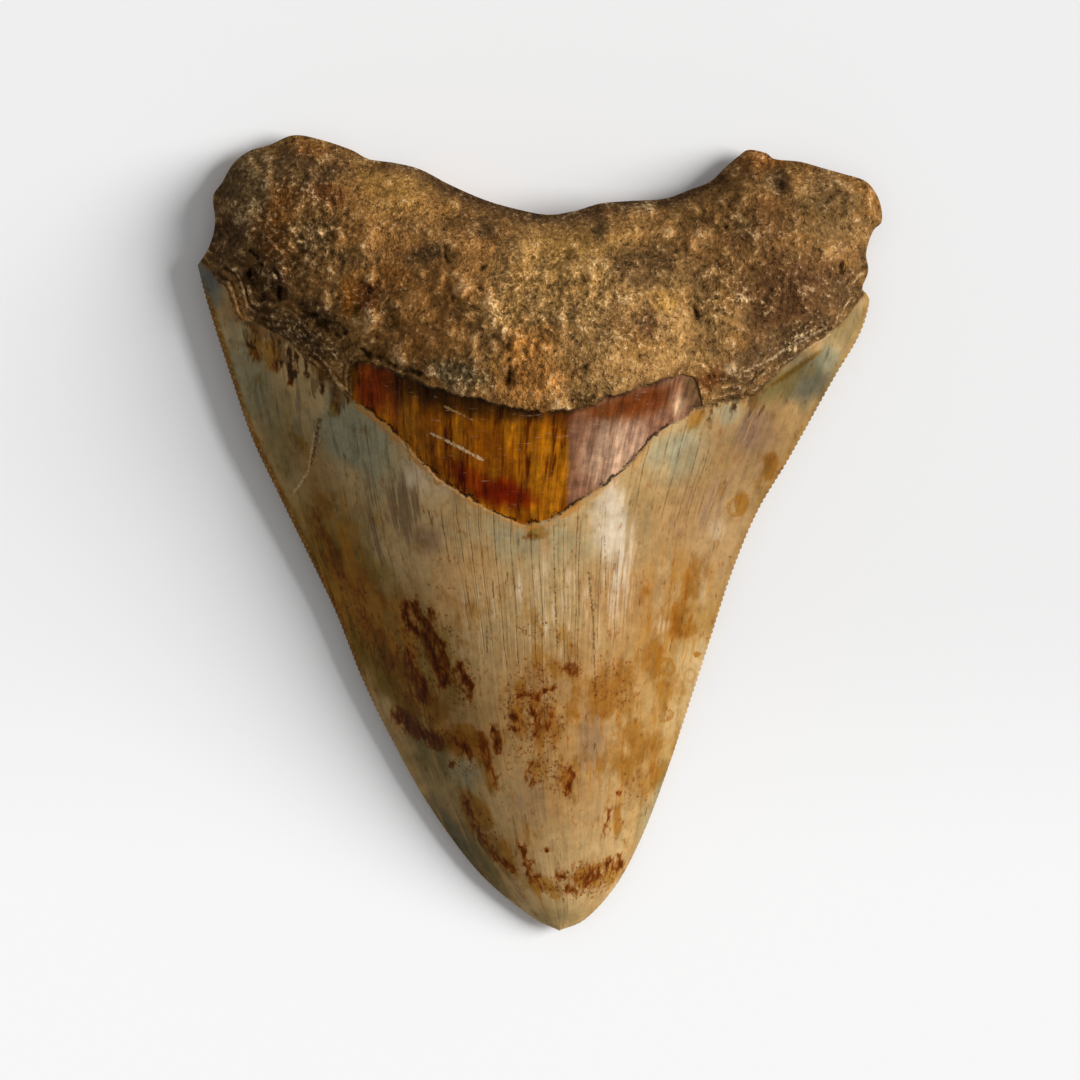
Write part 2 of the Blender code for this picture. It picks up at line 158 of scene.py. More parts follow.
# ---- colours, as sRGB ----

COLOURS = {
    "brown": (120, 85, 44),
    "umber": (84, 60, 34),
    "grey brown": (102, 82, 52),
    "earth": (60, 40, 20),
    "purple brown": (92, 60, 34),
    "ochre": (148, 105, 54),
    "yellow ochre": (168, 124, 60),
    "sienna": (136, 90, 42),
    "sand": (156, 119, 70),
    "rust": (116, 70, 26),
    "dark rust": (86, 44, 16),
    "orange brown": (128, 74, 16),
    "cream": (170, 141, 95),
    # Pale cream is the enamel's own pale patches, and also the colour of a painted highlight on the glossy
    # crown.
    "pale cream": (190, 172, 146),
    "pale tan": (164, 136, 98),
    "tan": (148, 112, 66),
    "shaded tan": (118, 88, 50),
    "sunlit tan": (186, 144, 92),
    "peach": (153, 113, 65),
    "honey": (146, 106, 46),
    "flank brown": (100, 72, 14),
    "golden": (138, 90, 20),
    "amber stain": (98, 56, 6),
    "stain": (88, 42, 8),
    "stain core": (54, 20, 2),
    "teal grey": (126, 124, 100),
    "green grey": (142, 136, 108),
    "olive": (122, 104, 64),
    "dark olive": (98, 82, 46),
    "slate": (86, 80, 62),
    "shoulder grey": (104, 104, 96),
    "mauve": (112, 86, 66),
    "plum": (90, 68, 48),
    "gold": (150, 90, 8),
    "amber": (120, 62, 2),
    "red": (116, 38, 0),
    "deep red": (98, 18, 0),
    # This dark brown is a painted shadow under the root's overhanging edge, along the top of the band.
    "black brown": (54, 28, 4),
    "burnt": (96, 44, 10),
    "mauve brown": (124, 84, 60),
    # Pink grey is the band's own pale patches, and also the colour of a painted reflection on the glossy
    # band.
    "pink grey": (168, 134, 106),
    "chip": (200, 170, 126),
    "lip": (168, 116, 56),
    "crevice": (34, 20, 6),
    "rusty ochre": (172, 114, 52),
    "golden wash": (224, 196, 132),
    "deep golden wash": (186, 150, 60),
    "rust wash": (204, 150, 78),
    "growth crack": (70, 50, 30),
    "dark strip": (150, 108, 90),
    # A painted sheen that greys the root's brightest parts.
    "wear": (205, 170, 140),
    "pale sheen": (190, 160, 116),
    # The root's own pale grains, and painted glints on its raised ones.
    "pale grain and glint": (206, 180, 140),
}

# Each stroke is a colour, x, y, radius along, radius across, turn in degrees and strength.
ROOT_STROKES = (
    ("sand", 2, 37, 24, 8, 0, 0.7), ("sienna", -17, 42, 12, 7, -20, 0.7),
    ("grey brown", -45, 50, 6.5, 11, 0, 0.85), ("umber", -46.5, 44.5, 4.5, 7, 0, 0.85),
    ("umber", -36.5, 54.5, 7, 3.2, 0, 0.8), ("rust", -34.5, 57.5, 3, 1.3, -10, 0.6),
    ("rust", -39, 43.8, 3.6, 5, 0, 0.8), ("dark rust", -31.8, 50.6, 3.2, 1.6, -10, 0.6),
    ("rust", -38.6, 49, 2, 3.4, 0, 0.7), ("yellow ochre", -21.6, 51.2, 6.6, 3.8, -24, 0.6),
    ("ochre", -23, 46.8, 5, 2.6, -20, 0.6), ("brown", -17.4, 45.2, 4.6, 2.2, -10, 0.8),
    ("umber", -18, 41.2, 4.6, 1.5, 10, 0.9), ("grey brown", -27, 41, 3.4, 1.7, 0, 0.8),
    ("grey brown", -34.4, 44.2, 3.6, 3, 0, 0.5), ("orange brown", -28.4, 35.6, 1.7, 2.8, 0, 1),
    ("sienna", -25, 39, 6, 5, 0, 0.5), ("dark rust", -25.4, 35, 1.8, 2.6, 0, 0.8),
    ("rust", -22, 37.5, 3.5, 2.6, 0, 0.6), ("umber", -37, 30, 9, 3, -36, 0.7),
    ("earth", -41.6, 38, 3.8, 3.6, 20, 0.8), ("earth", -33, 32.6, 4, 1.4, -35, 0.7),
    ("sienna", -16, 32, 6.5, 5.4, 0, 0.9), ("sienna", -17, 27, 5, 2.2, -20, 0.8),
    ("yellow ochre", 3, 38.4, 8, 4.4, 0, 0.5), ("yellow ochre", 6, 43.4, 9, 2.2, 0, 0.6),
    ("sienna", -8.6, 43.8, 4, 2.6, 0, 0.5), ("yellow ochre", -4.8, 32.3, 2.4, 2.2, 0, 0.4),
    ("umber", 15, 40, 5, 3.2, 0, 0.6), ("yellow ochre", 18.6, 34.6, 2.4, 1.8, 0, 0.9),
    ("purple brown", 24.5, 42, 6.5, 5.5, 0, 0.15), ("earth", -46, 47, 5, 8, 0, 0.25),
    ("purple brown", 37, 35.5, 9, 6, 28, 0.85), ("earth", 36, 34, 6, 3.6, 25, 0.3),
    ("earth", 34, 25.6, 6, 1.6, 34, 0.5), ("grey brown", 43, 48.5, 5, 6, 0, 0.4),
    ("rust", 33.5, 56, 3.6, 1.8, 0, 0.9), ("umber", 35.8, 52.6, 1.6, 2.4, 0, 0.8),
    ("umber", 48, 40, 1.6, 3.4, 0, 0.6), ("purple brown", 33, 46, 5, 4, 0, 0.5),
    ("rusty ochre", -1, 24.4, 5, 5.4, 0, 1), ("sand", 8, 27, 8, 3, 8, 0.5),
    ("grey brown", -12.5, 23.6, 4.6, 2, -16, 0.9), ("sand", 10, 22, 6, 1.8, 10, 0.6),
    ("sand", 24, 30, 7, 3.6, 14, 0.5), ("purple brown", 15.8, 31.2, 1.5, 1.9, 0, 0.8),
    ("umber", 8.5, 45.4, 1.2, 2, 0, 0.8), ("sand", 30, 45.8, 1.8, 1.4, 0, 0.8),
    ("sand", 20, 25.6, 6, 1.6, 14, 0.5), ("umber", -9, 45, 3, 1.2, 0, 0.5),
    ("umber", 35.6, 27.4, 9, 3, 32, 1), ("umber", 45.4, 35.8, 3, 3.4, 30, 0.9),
    ("umber", -33.6, 39.4, 5, 4.4, 0, 0.35), ("earth", -38.8, 30.8, 5.4, 2, -34, 0.7),
    ("dark rust", 25.6, 23, 2.2, 1.2, 20, 0.8), ("chip", 28.4, 24.4, 0.9, 0.7, 40, 0.7),
    ("umber", 30, 21.6, 3, 1.2, 35, 0.7),
)
ENAMEL_STROKES = (
    ("peach", 0, -30, 16, 20, 0, 0.6), ("peach", 6, -24, 8, 10, 0, 0.4),
    ("shaded tan", 30, 8, 9, 22, -22, 0.7), ("honey", 21, -26, 5, 22, -14, 0.45),
    ("honey", 23, -12, 4, 7, -15, 0.4), ("honey", 13, -20, 5, 8, 0, 0.35),
    ("olive", -33, 4, 6, 16, 22, 0.6), ("flank brown", -28, -9, 5, 15, 27, 0.85),
    ("flank brown", -20.5, -23, 3.4, 10, 28, 0.75), ("flank brown", -15, -19, 4, 9, 16, 0.6),
    ("shaded tan", -13, -26, 4, 5, 20, 0.35), ("olive", -14, -38, 4, 12, 30, 0.7),
    ("shoulder grey", -50, 38.4, 3, 4, 15, 1), ("teal grey", -44.2, 24.5, 3.4, 8, 22, 0.8),
    ("olive", -40.4, 19, 3, 6, 18, 0.45), ("olive", -38.4, 12, 3, 5, 20, 0.8),
    ("teal grey", -28.2, 15.2, 5.2, 5.6, 20, 0.85), ("teal grey", -24, 10, 3.6, 4.6, 20, 0.6),
    ("tan", -33.3, 9, 2.6, 5, 15, 0.6), ("pale cream", -16.4, 7.4, 4, 2.4, -35, 0.8),
    ("cream", -15.4, 3.5, 3, 4.6, 0, 0.7), ("mauve", -16.5, -1, 3.4, 1.8, -10, 0.5),
    ("green grey", -2, -1.6, 10, 3, -3, 0.7), ("cream", -10.6, -1.6, 3.5, 2.6, 0, 0.6),
    ("cream", -3, -9, 10, 8, 0, 0.7), ("peach", 13, -8, 6, 6, 0, 0.6),
    # Both strokes on this line are a painted highlight, where the glossy crown turns toward the key light.
    ("pale cream", 11, 1.5, 2, 7, 3, 0.9), ("pale cream", 8.6, 2, 1.6, 5, 3, 0.5),
    ("sunlit tan", -11, -8, 5, 7, 0, 0.9), ("peach", 13, -11, 6, 8, 0, 0.6),
    ("olive", 15.2, 1.6, 2.6, 6, 5, 0.3), ("green grey", 21.2, 12, 4.4, 4, -20, 0.85),
    ("green grey", 28.2, 18, 2.6, 2, 0, 0.75), ("tan", 26, 5, 4.6, 9, 0, 0.7),
    ("mauve", 31.6, 15.4, 2.6, 3.6, 0, 1), ("tan", 35, 13, 4, 7, -25, 0.5),
    ("slate", 40, 23.4, 4.2, 4, 10, 1), ("dark olive", 36, 22.4, 5.4, 1.8, 30, 1),
    ("teal grey", 43.5, 26, 1.8, 2.4, 0, 0.7), ("olive", 46, 31.5, 3.6, 2.6, 40, 0.7),
    ("peach", 22, -2, 5, 7, 0, 0.5), ("pale tan", 27, -1, 5, 9, -15, 0.45),
    ("mauve", 32, 14, 4.4, 5, 0, 0.3), ("pale cream", 26.5, 0.4, 1.2, 1.6, 0, 0.4),
    ("pale cream", 18.3, -13.7, 1.1, 1.1, 0, 0.6), ("pale cream", 24.4, -8.8, 0.7, 1.6, 0, 0.4),
    ("cream", 23.4, -19, 2.6, 3.4, -15, 1), ("cream", 21.6, -25, 2, 7, -17, 0.8),
    ("green grey", 17.4, -41, 1.5, 6, -18, 0.6), ("olive", -24, -11, 1.6, 5, 24, 0.5),
    ("dark olive", -16.6, -33, 2.6, 4, 30, 0.7), ("teal grey", -11, -35.6, 2.2, 2.6, 30, 0.6),
    ("cream", -5.5, -39.5, 3.4, 4.4, 0, 0.7), ("mauve", 7.8, -31, 2, 4, 0, 0.5),
    ("mauve", -1.4, -40.4, 3, 4, 0, 0.35), ("dark olive", -10, -49, 2.6, 8.5, 36, 0.85),
    ("slate", -12.6, -46, 1.6, 6, 34, 0.7), ("cream", 2.6, -47.6, 3.6, 3.2, 0, 0.5),
    ("olive", 3, -57.6, 4.2, 1.8, 0, 0.5), ("cream", -9, -17, 3, 8, 6, 0.5),
)
# Each is a colour, x, y, radius along, radius across, turn in degrees, and the share that it streaks.
STREAK_STROKES = (
    ("peach", 0, -20, 18, 26, 0, 0.45), ("tan", 20, -2, 9, 12, -10, 0.5),
    ("golden", -26, -8, 6, 16, 27, 0.6), ("mauve", 25, 6, 4, 9, -20, 0.45),
    ("slate", -30, 16, 7, 8, 20, 0.35), ("slate", -38, 20, 6, 8, 20, 0.45),
    ("plum", -24.2, 2.4, 2.4, 5.6, 12, 0.5), ("plum", -20, 3.4, 2.2, 6, 8, 0.6),
    ("plum", -22.6, -4, 2.8, 5.4, 20, 0.4), ("mauve", -16, -1, 3.6, 3, 0, 0.45),
    # The first stroke on this line is a painted highlight, drawn out down the glossy crown.
    ("pale cream", 11, -0.5, 3, 10, 3, 0.6), ("pale cream", -2, -12, 12, 8, 0, 0.35),
    ("golden", 20, -12, 5, 9, -14, 0.5), ("rust", -12, -3, 4, 3, 0, 0.35),
    ("golden", 3, -33, 12, 6, 0, 0.35), ("golden", 14, -35, 5, 8, -14, 0.45),
    ("dark olive", 36, 22.4, 6, 2.2, 30, 0.3), ("slate", 40, 22.6, 4, 3.4, 10, 0.2),
)
BOURLETTE_STROKES = (
    # Both strokes on this line are a painted reflection of the key light on the glossy band.
    ("pink grey", 10.6, 12, 4.4, 6.4, 0, 0.85), ("pink grey", 14.5, 12.6, 2.6, 3, 30, 0.5),
    # The dark brown strokes on this line and the next, along the band's top, are a painted shadow under the
    # root's overhanging edge.
    ("red", -24.4, 21.6, 3, 3.6, 0, 0.95), ("black brown", -14.5, 20.4, 8, 2.4, -14, 0.95),
    ("black brown", -3, 18, 8, 1.6, -4, 0.75), ("gold", -12.8, 13, 3, 3, 0, 0.6),
    ("gold", 0.8, 11, 3.4, 5, 0, 0.9), ("deep red", -5.6, 6, 4.6, 1.9, -12, 0.9),
    ("red", -10.6, 8.4, 3.4, 1.5, -32, 0.8), ("gold", -18.8, 15.5, 2, 2.6, 0, 0.5),
    ("amber", -8, 13, 2, 5, 0, 0.5), ("burnt", 6, 17.6, 4, 1.2, 8, 0.8),
    ("burnt", 15, 19.4, 6.6, 1.9, 15, 0.95), ("mauve brown", 6, 16, 1.6, 3, 0, 0.7),
    ("pink grey", 20.4, 19.8, 1.3, 2, 0, 0.6), ("umber", 22.8, 20.6, 1.4, 3.2, 20, 0.85),
    ("chip", 20.6, 18.6, 0.8, 1.4, -20, 0.5),
)
LABIAL_STROKES = (
    ("teal grey", -30, 18, 9, 7, 10, 0.6), ("green grey", 30, 17, 8, 7, -10, 0.6),
    ("golden", -12, -14, 5, 9, 15, 0.6), ("tan", 12, -20, 4, 8, -8, 0.6), ("mauve", 5, 10, 8, 8, 0, 0.4),
    ("tan", 8, -44, 4, 4, 0, 0.6),
)
# The corners of a clean triangle beside the right edge, where the golden stain ends.
CLEAN_CORNER = ((19.4, -17.2), (25.6, -14.6), (23, -25))
# Each patch of a texture is x, y, radius along, radius across, turn in degrees and density.
GOLDEN_STAINS = (
    (-27, -9, 4, 12, 27, 0.45), (-31.5, -3, 1.6, 9, 27, 0.75), (-22, -19, 3, 8, 28, 0.6),
    (-17.5, -26, 4, 6, 28, 0.85), (-12, -31, 6.4, 2.4, -6, 1.1), (-9, -3, 3, 2, 0, 0.3),
    (-0.2, 0.3, 3.4, 1.4, 0, 0.7), (-2, -12.5, 3, 3.4, 0, 0.4), (2.5, -18, 5, 5, 0, 0.6),
    (21.6, -13.4, 3.2, 3.4, 20, 0.95), (23, -7.5, 2.4, 5, -15, 0.55), (18, -10, 3, 6, 0, 0.5),
    (34.8, 9.8, 1.2, 2.4, 0, 0.8), (30.2, 4.6, 1.1, 1.9, 0, 0.8), (27.6, 8, 3, 6, 0, 0.35),
    (17.2, -19, 4, 3.4, 0, 0.7), (12, -23, 4, 5.4, -10, 0.8), (6.5, -26, 4, 5, 0, 0.6),
    (9.5, -26, 2.4, 2.4, 0, 0.8), (19, -25, 3, 7, -15, 0.45), (-1, -27, 4.4, 7.5, 5, 0.7),
    (2.5, -35.5, 4.5, 3.5, 0, 0.6), (15, -34, 5, 6, 0, 0.85), (-8.4, -34.8, 1.4, 4.4, 15, 0.8),
    (-10, -42, 2.2, 4.4, 38, 0.9), (-6, -48, 1.9, 4.6, 36, 0.9), (0.4, -53, 3, 1.6, -20, 0.8),
    (8, -51.4, 4, 1.9, 15, 0.8), (11.5, -42.6, 0.8, 3, 0, 0.8), (-43, 29, 1.6, 3.2, 10, 0.7),
    (-40, 27.6, 1.6, 3.2, 0, 0.7), (-33, 5, 3, 7, 15, 0.4), (-37, 9, 2, 5, 20, 0.45),
    (5, -20.5, 2, 1.6, 0, 0.6), (-36, 17, 2.4, 6, 10, 0.35), (-30, 19.5, 2, 2.4, 0, 0.5),
    (23, 17, 2.6, 1.4, 40, 0.6), (38, 24.4, 6.6, 0.5, 35, 0.9), (-12, -9, 4, 8, 10, 0.4),
    (8, -34, 8, 8, 0, 0.35),
)
DARK_STAINS = (
    (-0.6, -26.6, 1.8, 3.8, 0, 0.35), (-3.8, -27.5, 0.7, 0.7, 0, 1), (-3.8, -29.2, 0.8, 0.6, 0, 1),
    (4.6, -20.3, 1.3, 1, 0, 0.7), (25.6, 19.4, 1.4, 0.9, 0, 0.8), (27.9, 20.4, 1.2, 1.2, 0, 0.9),
    (30.6, 21.6, 0.5, 1.2, -10, 1), (33, 23.4, 0.5, 1, 0, 1), (29, 18.8, 0.4, 0.9, 15, 0.9),
    (-1.2, -0.6, 1.6, 0.6, 0, 0.6), (-43.4, 27.4, 0.8, 1.2, 0, 0.5), (11.9, -39, 0.6, 0.6, 0, 0.6),
    (-13.2, -34.7, 0.6, 0.6, 0, 0.8), (1, -47.6, 0.4, 0.4, 0, 0.9), (-17.8, -23.6, 2.6, 3.4, 20, 0.35),
    (7, -51.8, 5.6, 2.4, 14, 0.35), (-16.4, -16.4, 1.3, 4.4, 24, 0.62),
)
# Each dark line on the enamel is its width, its strength and the points that it runs through.
STAIN_LINES = (
    (1, 0.9, ((-20.2, -10.7), (-19.9, -12.9), (-18.8, -14.4), (-17.2, -15.3))),
    (1.2, 1, ((-17.2, -15.3), (-16.1, -17.9), (-15.4, -19.5), (-14.6, -21), (-14.2, -22.4))),
    (0.9, 0.9, ((-18.8, -10.5), (-18.1, -12.2), (-17, -13.7), (-16.1, -15.3), (-14.6, -16.8))),
    (0.8, 0.8, ((-16.3, -11.9), (-16.2, -14), (-15.6, -16.2), (-14.6, -17.8), (-14.2, -20.3))),
    (1.1, 0.75, ((-19.6, -17.9), (-19.4, -20.3), (-18.4, -21.8), (-17.2, -23.3), (-17.6, -24.8))),
    (0.9, 0.9, ((-11.9, -19.8), (-11.3, -21.3), (-10.6, -22.5), (-10.6, -24.5))),
    (0.6, 0.7, ((-12.8, -20.6), (-12.2, -22.2), (-11.4, -23.6))),
    (1.5, 0.85, ((-21.4, -27.2), (-19.9, -28.2), (-18.8, -29.4), (-17.2, -30.2), (-15.4, -31.2))),
    (1, 0.75, ((-12.6, -31), (-11.5, -31.7), (-10.7, -33.3))),
    (1, 0.6, ((-8.8, -30.2), (-7.7, -34.1), (-6.4, -37.4))),
    (0.9, 0.95, ((-6.8, -29.2), (-6.5, -31.2), (-6.3, -32.4))),
    (0.5, 0.8, ((-3.2, -24.4), (-1.9, -24), (-0.4, -24.8), (0.9, -23.4), (2.4, -23))),
    (0.6, 0.85, ((-1.4, -25.6), (-1, -27.2), (-0.4, -28.6), (-0.8, -30.2))),
    (0.6, 0.7, ((1.2, -25.8), (1.6, -28), (0.8, -29.6))),
    (1, 0.75, ((4.8, -35.8), (4.4, -37), (3.9, -38.9))),
    (0.8, 0.6, ((-1.4, -34.4), (-1.6, -36), (-1.2, -37.6))),
    (0.8, 0.6, ((-10.8, -39.4), (-10.6, -41.9), (-9.3, -44.5), (-7.8, -47.1), (-5.8, -49.2), (-3.9, -50.6))),
    (1.2, 0.65, ((-2.6, -47.1), (-1.7, -50.1), (0, -52.7))),
    (1.3, 0.6, ((3, -51.6), (5, -53.4), (7.2, -52.4))),
    (1.7, 0.62, ((7.4, -51.6), (9.2, -50.2), (11.6, -49.4))),
    (0.7, 0.65, ((10.2, -41.6), (10, -43.2), (9.8, -45.3))),
    (0.7, 1, ((-37.6, 27.4), (-37.5, 25), (-37.2, 22.5))),
    (0.5, 0.9, ((-36.4, 27), (-36.5, 23.3))),
    (0.6, 1, ((-32.6, 24.6), (-32.5, 22.6), (-32.4, 20.9))),
    (0.8, 0.65, ((-30.6, 22.6), (-30.4, 20.4), (-30.3, 18.5))),
    (0.6, 0.9, ((-28.7, 21.4), (-28.7, 19.2))),
    (1.6, 0.5, ((-43.2, 31.2), (-42.8, 26.6))),
    (1.4, 0.6, ((-39.6, 29.8), (-39.2, 27), (-39.3, 24.8))),
    (0.5, 0.9, ((-35, 26.4), (-34.9, 23.4))),
    (0.6, 0.8, ((25.4, 18.4), (25.2, 15.8))),
    (1.4, 0.22, ((-34.2, 5), (-33.4, 2), (-32.4, -0.6), (-31.2, -3.4), (-29.8, -6.8))),
    (1.8, 0.24, ((-27.2, -8.5), (-26.2, -12), (-25.3, -15.6), (-24.1, -19.1))),
    (1.4, 0.25, ((-22.6, -13.6), (-21.8, -15.6), (-21.4, -17.8), (-22.2, -20.4))),
)
SPECKLES = (
    (-17, -17, 5, 8, 18, 0.6), (-12, -22, 2.5, 5, 8, 0.7), (-1, -27, 4.4, 8, 5, 1),
    (1.5, -36, 3.5, 3, 0, 0.9), (5, -20.5, 2.4, 2, 0, 0.7), (-1, -14.2, 2.6, 1.6, 0, 0.7),
    (6, -52.4, 5, 2.6, 10, 1), (-17, -29, 5.5, 2.6, -20, 0.5), (-8, -44, 3.4, 1.6, -55, 0.6),
    (-14.5, -7, 2.5, 4, 0, 0.3), (11, -22, 4, 5, 0, 0.5), (-27, -12, 2.6, 7, 28, 0.4),
    (14, -38, 3, 5, 0, 0.35), (-12, -35, 3, 2, 0, 0.45), (3, -10, 8, 6, 0, 0.12),
)
# Each is x, y, radius and strength.
RINGS = (
    (18.9, -20, 1.2, 0.7), (18.9, -27.4, 0.9, 0.6), (22.5, -21.4, 0.8, 0.35), (29.6, 3.9, 1.3, 0.6),
    (23.5, -18.4, 0.35, 0.9), (22.4, -14.2, 0.5, 0.7), (12.4, -25.8, 0.9, 0.4),
)
CRACKS = (
    (1, -9, 14, 14, 0, 1), (-10, 0, 8, 6, 0, 0.9), (20, 9, 8, 9, 0, 1), (-1, -28, 9, 12, 0, 0.65),
    (-23, 6, 8, 10, 10, 0.85), (30, 16, 5, 6, 0, 0.6), (12, -28, 5, 9, 0, 0.5), (-25, 13, 5, 4, -35, 1.1),
)
GRIT = (
    (-34.4, 44.2, 4, 3.4, 0, 0.9), (-27.5, 34, 9, 4, 0, 0.6), (-11.5, 23.2, 6, 2.6, -8, 0.9),
    (-4.8, 32.3, 4, 3.6, 0, 0.9), (6.3, 19.9, 2.4, 1.2, 0, 0.9), (3, 36, 14, 8, 0, 0.7),
    (30, 45.8, 2.4, 2.4, 0, 0.8), (-30, 53, 6, 3, 0, 0.5), (-33, 29, 7, 3, -35, 0.8),
    (-37, 46, 9, 9, 0, 0.75), (28, 36, 6, 5, 0, 0.7), (40, 29.5, 7, 2, 28, 0.8), (14, 30, 8, 4, 0, 0.7),
)
# Each patch of the root with little grain is x, y, radius along, radius across, turn and strength.
SMOOTH_PATCHES = (
    (-22, 48, 9, 4.6, -24, 0.9), (-34, 55, 8, 3, -10, 0.4), (-28.6, 36, 2.2, 3, 0, 1),
    (-44, 48, 4, 8, 0, 0.4), (24, 24.8, 6, 1.4, 12, 0.5), (40, 36, 6, 4, 30, 0.4),
)
# Each scratch is its two ends, its width, its colour and its strength.
SCRATCHES = (
    ((-14.2, 18.8), (-10, 16.7), 0.28, "sand", 0.9), ((-16.2, 14.9), (-8.4, 10.8), 0.34, "chip", 0.95),
    ((-32.9, 17.2), (-33.5, 13.2), 0.6, "stain core", 0.7),
    ((-33.5, 13.4), (-34.3, 10.2), 0.4, "stain core", 0.8),
    ((-33.7, 15.4), (-34.6, 9.6), 0.26, "chip", 0.5), ((-34.6, 9.4), (-37.4, 5.4), 0.3, "chip", 0.6),
    ((30.4, 24), (35.4, 26.4), 0.3, "chip", 0.7), ((35.2, 26.6), (42.4, 30.6), 0.3, "chip", 0.5),
    ((36.4, 25.4), (43.6, 29.8), 0.26, "chip", 0.4), ((2, 1.2), (2.2, -7.9), 0.2, "crevice", 0.5),
    ((2.2, -7.9), (2.6, -17.4), 0.24, "crevice", 0.6), ((7.2, -5.7), (7.9, -12.2), 0.3, "crevice", 0.7),
    ((7.9, -12.2), (8.3, -24.8), 0.24, "crevice", 0.6), ((9.6, -0.5), (9.8, -9.6), 0.2, "crevice", 0.5),
    ((-8, -14), (-7.8, -17.8), 0.24, "crevice", 0.6), ((-7, -7), (-6.9, -9.8), 0.22, "crevice", 0.6),
)

# ---- mesh density, in millimetres ----

SERRATION_STEPS = 6  # points along the rim for each serration
MARGIN_SPACING = 0.35
ROOT_SPACING = 0.33
CROWN_SPACING = 0.46
LABIAL_ROOT_SPACING = 1.0
LABIAL_CROWN_SPACING = 1.4
STEP_HALF_WIDTH = 0.12
LONGEST_EDGE = 0.85  # of a triangle on a steep wall
MOST_HALVINGS = 4  # of one such edge
DENSE = 0.1  # the spacing of the points that distances are measured from


# ---- the finish, and the stage, whose lengths are also in millimetres ----

BUMP_HEIGHT = 0.45
ROOT_ROUGHNESS = 0.85
SPECULAR = 0.05

FLOOR_HALF = 4000
FLOOR_ROUGHNESS = 0.9
FLOOR_FADE = (-55, -5)
FLOOR_BRIGHTNESS = (0.90, 0.832)
SKY_STRENGTH = 0.34
KEY_STRENGTH = 4.25
KEY_ELEVATION = 31  # the key lamp's angles are in degrees
KEY_AZIMUTH = 5
KEY_WIDTH = 34
CAMERA_HEIGHT = 1500
CAMERA_Y = -1.05
FOCUS_HEIGHT = 6
FRAME_WIDTH = 162


# ---- numbers and noise ----

def smoothstep(low, high, value):
    t = np.clip((value - low) / (high - low), 0, 1)
    return t * t * (3 - 2 * t)


def mix(a, b, share):
    return a + (b - a) * share


def noise_at(points, seed=0.0):
    """Smooth noise, from -1 to 1, with lumps about one unit across."""
    shift = Vector((seed * 17.1, seed * 5.3, seed * 11.9))
    return np.array([noise.noise(Vector(p) + shift) for p in points.tolist()])


def blotches(x, y, size, seed=0.0):
    """Noise with lumps about this size across."""
    return noise_at(np.column_stack([x / size, y / size, np.full(len(x), size)]), seed)


# ---- curves ----

def smooth_curve(points, step):
    """Evenly spaced points on a Catmull-Rom curve through the given ones, both ends included."""
    samples_per_span = 24
    p = np.array(points, float)
    p = np.vstack([2 * p[0] - p[1], p, 2 * p[-1] - p[-2]])
    t = np.linspace(0, 1, samples_per_span, endpoint=False)[:, None]
    spans = []
    for a, b, c, d in zip(p, p[1:], p[2:], p[3:]):
        square, cube = a - 2.5 * b + 2 * c - d / 2, 1.5 * (b - c) + (d - a) / 2
        spans.append(b + t * (c - a) / 2 + t**2 * square + t**3 * cube)
    line = np.vstack([*spans, p[-2]])
    along = np.concatenate([[0], np.cumsum(np.linalg.norm(np.diff(line, axis=0), axis=1))])
    stations = np.linspace(0, along[-1], max(2, round(along[-1] / step) + 1))
    return np.column_stack([np.interp(stations, along, line[:, axis]) for axis in (0, 1)])


def outward(line):
    """Unit normals on the right-hand side of a line, which is outside an anticlockwise outline."""
    run = np.gradient(line, axis=0)
    normal = np.column_stack([run[:, 1], -run[:, 0]])
    return normal / np.linalg.norm(normal, axis=1)[:, None]


def ragged(points, amounts):
    """A left-to-right border, moved up and down by noise of each size and amount."""
    line = smooth_curve(points, DENSE)
    fade = smoothstep(0, 2, np.minimum(line[:, 0] - line[0, 0], line[-1, 0] - line[:, 0]))
    for size, amount in amounts:
        wave = noise_at(np.column_stack([line / size, np.full(len(line), size)]))
        line[:, 1] += amount * fade * wave
    return line


def height_on(line, x):
    """The y of a left-to-right line at x."""
    return np.interp(x, line[:, 0], line[:, 1])


class Border:
    """A line that distances are measured from."""

    def __init__(self, line):
        self.line = line
        self.tree = kdtree.KDTree(len(line))
        for i, (x, y) in enumerate(line):
            self.tree.insert((x, y, 0), i)
        self.tree.balance()

    def nearest(self, x, y):
        """The index of the line's closest point to each given point, and the distance to it."""
        found = [self.tree.find((a, b, 0))[1:] for a, b in zip(x.tolist(), y.tolist())]
        index, distance = np.array(found).reshape(-1, 2).T
        return index.astype(int), distance


LEFT_LINE = smooth_curve(LEFT_EDGE, 0.5)[::-1]
RIGHT_LINE = smooth_curve(RIGHT_EDGE, 0.5)
LABIAL_LINE = ragged(LABIAL_BORDER, ((3.0, 0.5), (1.0, 0.2)))
ENAMEL_LINE = ragged(ENAMEL_BORDER, ((2.2, 0.35), (0.9, 0.22)))
ROOT_LINE = ragged(BOURLETTE_TOP, ((1.8, 0.4), (0.8, 0.25)))
LEDGE_LINE = ragged(LEDGE, ((2.5, 0.5), (1.0, 0.25)))

